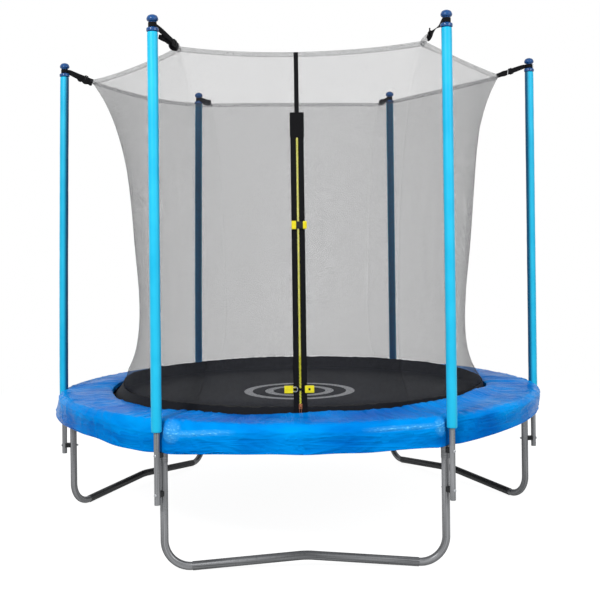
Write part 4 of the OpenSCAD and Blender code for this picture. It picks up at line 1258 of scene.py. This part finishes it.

# painted light and shade: the roll between the top and the skirt is drawn palest, and the creases tint the
# colour
cloud = add(tree, "TexNoise", {"Vector": place.outputs["Object"], "Scale": 3.5, "Detail": 2.0})
tone_and_crease_shade = add(tree, "Mix", {0: 0.2, 2: cloud.outputs["Fac"], 3: relief})
# painted light and shade: a tone each for the top, the lit roll and the skirt
lying, stretched, hung = (tone(tree, tone_and_crease_shade, dark, light, 0.34, 0.66) for dark, light in (
    ("#0066C6", "#0090EA"), ("#0070CE", "#009AF2"), ("#0062C0", "#008EE8")))
colour_with_painted_shade = add(tree, "Mix", {0: off_skirt, 6: hung, 7: stretched}, data_type="RGBA")
colour_with_painted_shade = add(tree, "Mix", {0: on_top, 6: colour_with_painted_shade.outputs[2], 7: lying}, data_type="RGBA")

# painted glints: small pale flecks along the roll and round the front poles
spread = add(tree, "Mapping", {"Vector": place.outputs["UV"], "Rotation": (0, 0, 0.15),
                               "Scale": (55, 170, 1)})
specks = add(tree, "TexNoise", {"Vector": spread, "Scale": 1.0, "Detail": 2.0})
glint_flecks = add(tree, "MapRange", {"Value": specks.outputs["Fac"], "From Min": 0.54, "From Max": 0.68})
strength = add(tree, "MapRange", {"Value": glint_flecks, "To Min": 0.22, "To Max": 0.85})
off_roll = distance_from(tree, across, ROLL_MIDDLE)
on_roll = add(tree, "MapRange", {"Value": off_roll, "From Min": 0.002, "From Max": 0.014, **FALLING})
painted_glints = add(tree, "Math", {0: on_roll, 1: near(GLINTS_ON_ROLL)}, operation="MULTIPLY")
painted_glints = add(tree, "Math", {0: painted_glints, 1: near(GLINTS_BY_POLES)}, operation="MAXIMUM")
painted_glints = add(tree, "Math", {0: painted_glints, 1: strength}, operation="MULTIPLY")
# painted glints mixed into the cover's colour
with_painted_glints = add(tree, "Mix", {0: painted_glints, 6: colour_with_painted_shade.outputs[2], 7: linear("#78D4FF")}, data_type="RGBA")
tree.links.new(with_painted_glints.outputs[2], shader.inputs["Base Color"])

# %% Pad form
PAD_IN, PAD_OUT, PAD_PINCH, PINCH_REACH, ROUND = 973.0, 1243.0, 1220.8, 35, 1116
# mm by angle: how far the inner edge rides up on the foot band, the outer roll sags by a
# pole, the skirt's edge hangs unevenly, the far half has sunk towards the ring, and the
# skirt's bottom stands off or tucks in
INNER = ((0, 0), (196, 0), (203, -9), (212, -3), (219, -8), (230, -7), (239, 3), (247, 2), (255, -2),
         (262, 2), (268, 7), (275, 16), (281, 8), (295, 11), (303, 19), (320, 22), (328, 31), (336, 21),
         (346, 8), (354, 0))
SAG = ((0, 0), (216, 0), (224, -7), (231, -24), (240, -30), (246, -24), (252, -12), (260, -7), (292, -7),
       (298, -8), (304, 0))
HEM_LINE = ((0, 20), (14, 8), (26, 0), (172, 2), (190, 5), (214, 4), (223, 0), (229, -13), (235, -21),
            (243, -20), (248, -12), (254, -4), (260, 0), (290, 0), (298, -9), (303, 0), (312, 9), (320, 14),
            (330, 19), (345, 21))
SUNK = ((0, 6), (10, 16), (20, 19), (160, 19), (176, 17), (186, 9), (198, 0), (342, 0), (352, 2))
STAND_OFF = ((0, -20), (20, -6), (34, 0), (165, 0), (174, 20), (186, 20), (198, 6), (210, 0), (318, 0),
             (340, -10))
# the section: distance from its edge, height, and 0 for the inner edge or 1 for the outer
SECTION = ((0, 622, 0), (0, 634, 0), (5, 643, 0), (40, 649, 0), (-150, 650, 1), (-90, 650, 1), (-50, 649, 1),
           (-27, 645, 1), (-12, 636.5, 1), (-3, 624, 1), (0, 607, 1), (0, 580, 1), (0, 552, 1), (0, 534, 1),
           (0.2, 528, 1), (-1, 527, 1), (-2.2, 529, 1), (-2.2, 570, 1), (-3, 606, 1), (-14, 617, 1),
           (-60, 619, 1), (40, 620, 0))


def by_angle(table, degrees):
    """A value that changes smoothly with the angle: straight lines between the table's points,
    averaged over 5 degrees."""
    at, value = np.array(table, float).T
    spread = np.linspace(-2.5, 2.5, 9)
    return np.mean([np.interp(degrees + d, at, value, period=360) for d in spread], axis=0)


# round the ring, the steps are closer by the poles, where the skirt is pinched
sixths = np.arange(ROUND + 1) / ROUND * 6
swing = (sixths + 0.5) % 1 - 0.5
swing = np.sign(swing) * (np.abs(swing) * 2) ** 1.4 / 2
angle = np.radians(60 * (np.floor(sixths + 0.5) + swing))[:, None]
degrees = np.degrees(angle) % 360
off_pole = np.radians(np.abs(swing) * 60)[:, None] * PAD_OUT
pinch = np.exp(-(off_pole / PINCH_REACH) ** 2)
rim_r = PAD_OUT - (PAD_OUT - PAD_PINCH) * pinch
inset, section_z, outer_edge = np.array(SECTION, float).T[:, None]
section_r = np.where(outer_edge > 0, rim_r, PAD_IN) + inset
pad_section = smooth(np.stack([section_r, np.broadcast_to(section_z, section_r.shape)], -1), 4)
q = np.linspace(0, 1, pad_section.shape[1])[None]
u = angle / (2 * np.pi)
tangent = np.gradient(pad_section, axis=1)
tangent[:, 0] = tangent[:, -1] = pad_section[:, 1] - pad_section[:, -2]
normal_r, normal_z = np.moveaxis(unit(np.stack([-tangent[..., 1], tangent[..., 0]], -1)), -1, 0)
r0, z0 = np.moveaxis(pad_section, -1, 0)
outside = q < 0.68
on_rim = r0 > rim_r - 1.5
outer = ((z0 > 623) | on_rim) & outside
lid = ramp(z0, 636, 646) * outside
skirt = ramp(z0, 625, 585) * on_rim * outside

swell = 1.7 * ripple(u, q, 54, 9, 1) + 1.0 * ripple(u, q, 150, 16, 2)
slant = 0.05 * np.sin(2 * np.pi * 3 * u) * q
fold = 1 - np.abs(ripple(u + slant + 0.02 * q, q, 90, 6, 3))
sharp = 1 - np.abs(ripple(u - slant - 0.03 * q, q, 210, 10, 4))
crease = 2.6 * fold ** 10 + 1.6 * sharp ** 9
pucker = np.exp(-(off_pole / 140) ** 2) * 3.6 * np.cos(off_pole / 11 + 1.5 * np.sin(9 * q))
push = outer * (swell * (0.5 + 0.5 * lid) + crease * 1.3 - 2.2)
push = push + outer * pucker * np.clip(1 - pinch * 1.4, 0, 1) * (0.4 + 0.6 * lid)
push = push + 2.2 * skirt * ripple(u, 0 * q, 70, 1, 5)
push = np.minimum(push, 2.4 * (1 - pinch) + 0.2)

hanging_part = ramp(z0, 640, 540) * soft_step(r0, 1190, 1220)
r = r0 + normal_r * push + by_angle(STAND_OFF, degrees) * hanging_part ** 1.5 * (1 - pinch)
z = z0 + normal_z * push + by_angle(HEM_LINE, degrees) * hanging_part
z = z + by_angle(INNER, degrees) * (1 - soft_step(r0, PAD_IN, PAD_IN + 95)) * (z0 > 600)
z = z + by_angle(SAG, degrees) * soft_step(r0, 1206, PAD_OUT) * ramp(z0, 527, 587)
z = z - by_angle(SUNK, degrees) * soft_step(r0, 1040, 1200) * ramp(z0, 622, 650)
z = z + np.where(z0 < 545, 2.2 * ripple(u + 0 * q, 0 * q, 60, 1, 6), 0)
pad_points = np.stack([r * np.cos(angle), r * np.sin(angle), z], -1)
pad_uv = mapped(angle * PAD_OUT, lengths(pad_section[100])[None])
pad = piece("spring_pad_cover", grid(pad_points, pad_uv), vinyl, "frame", ["spring_pad"],
            crisp=70)
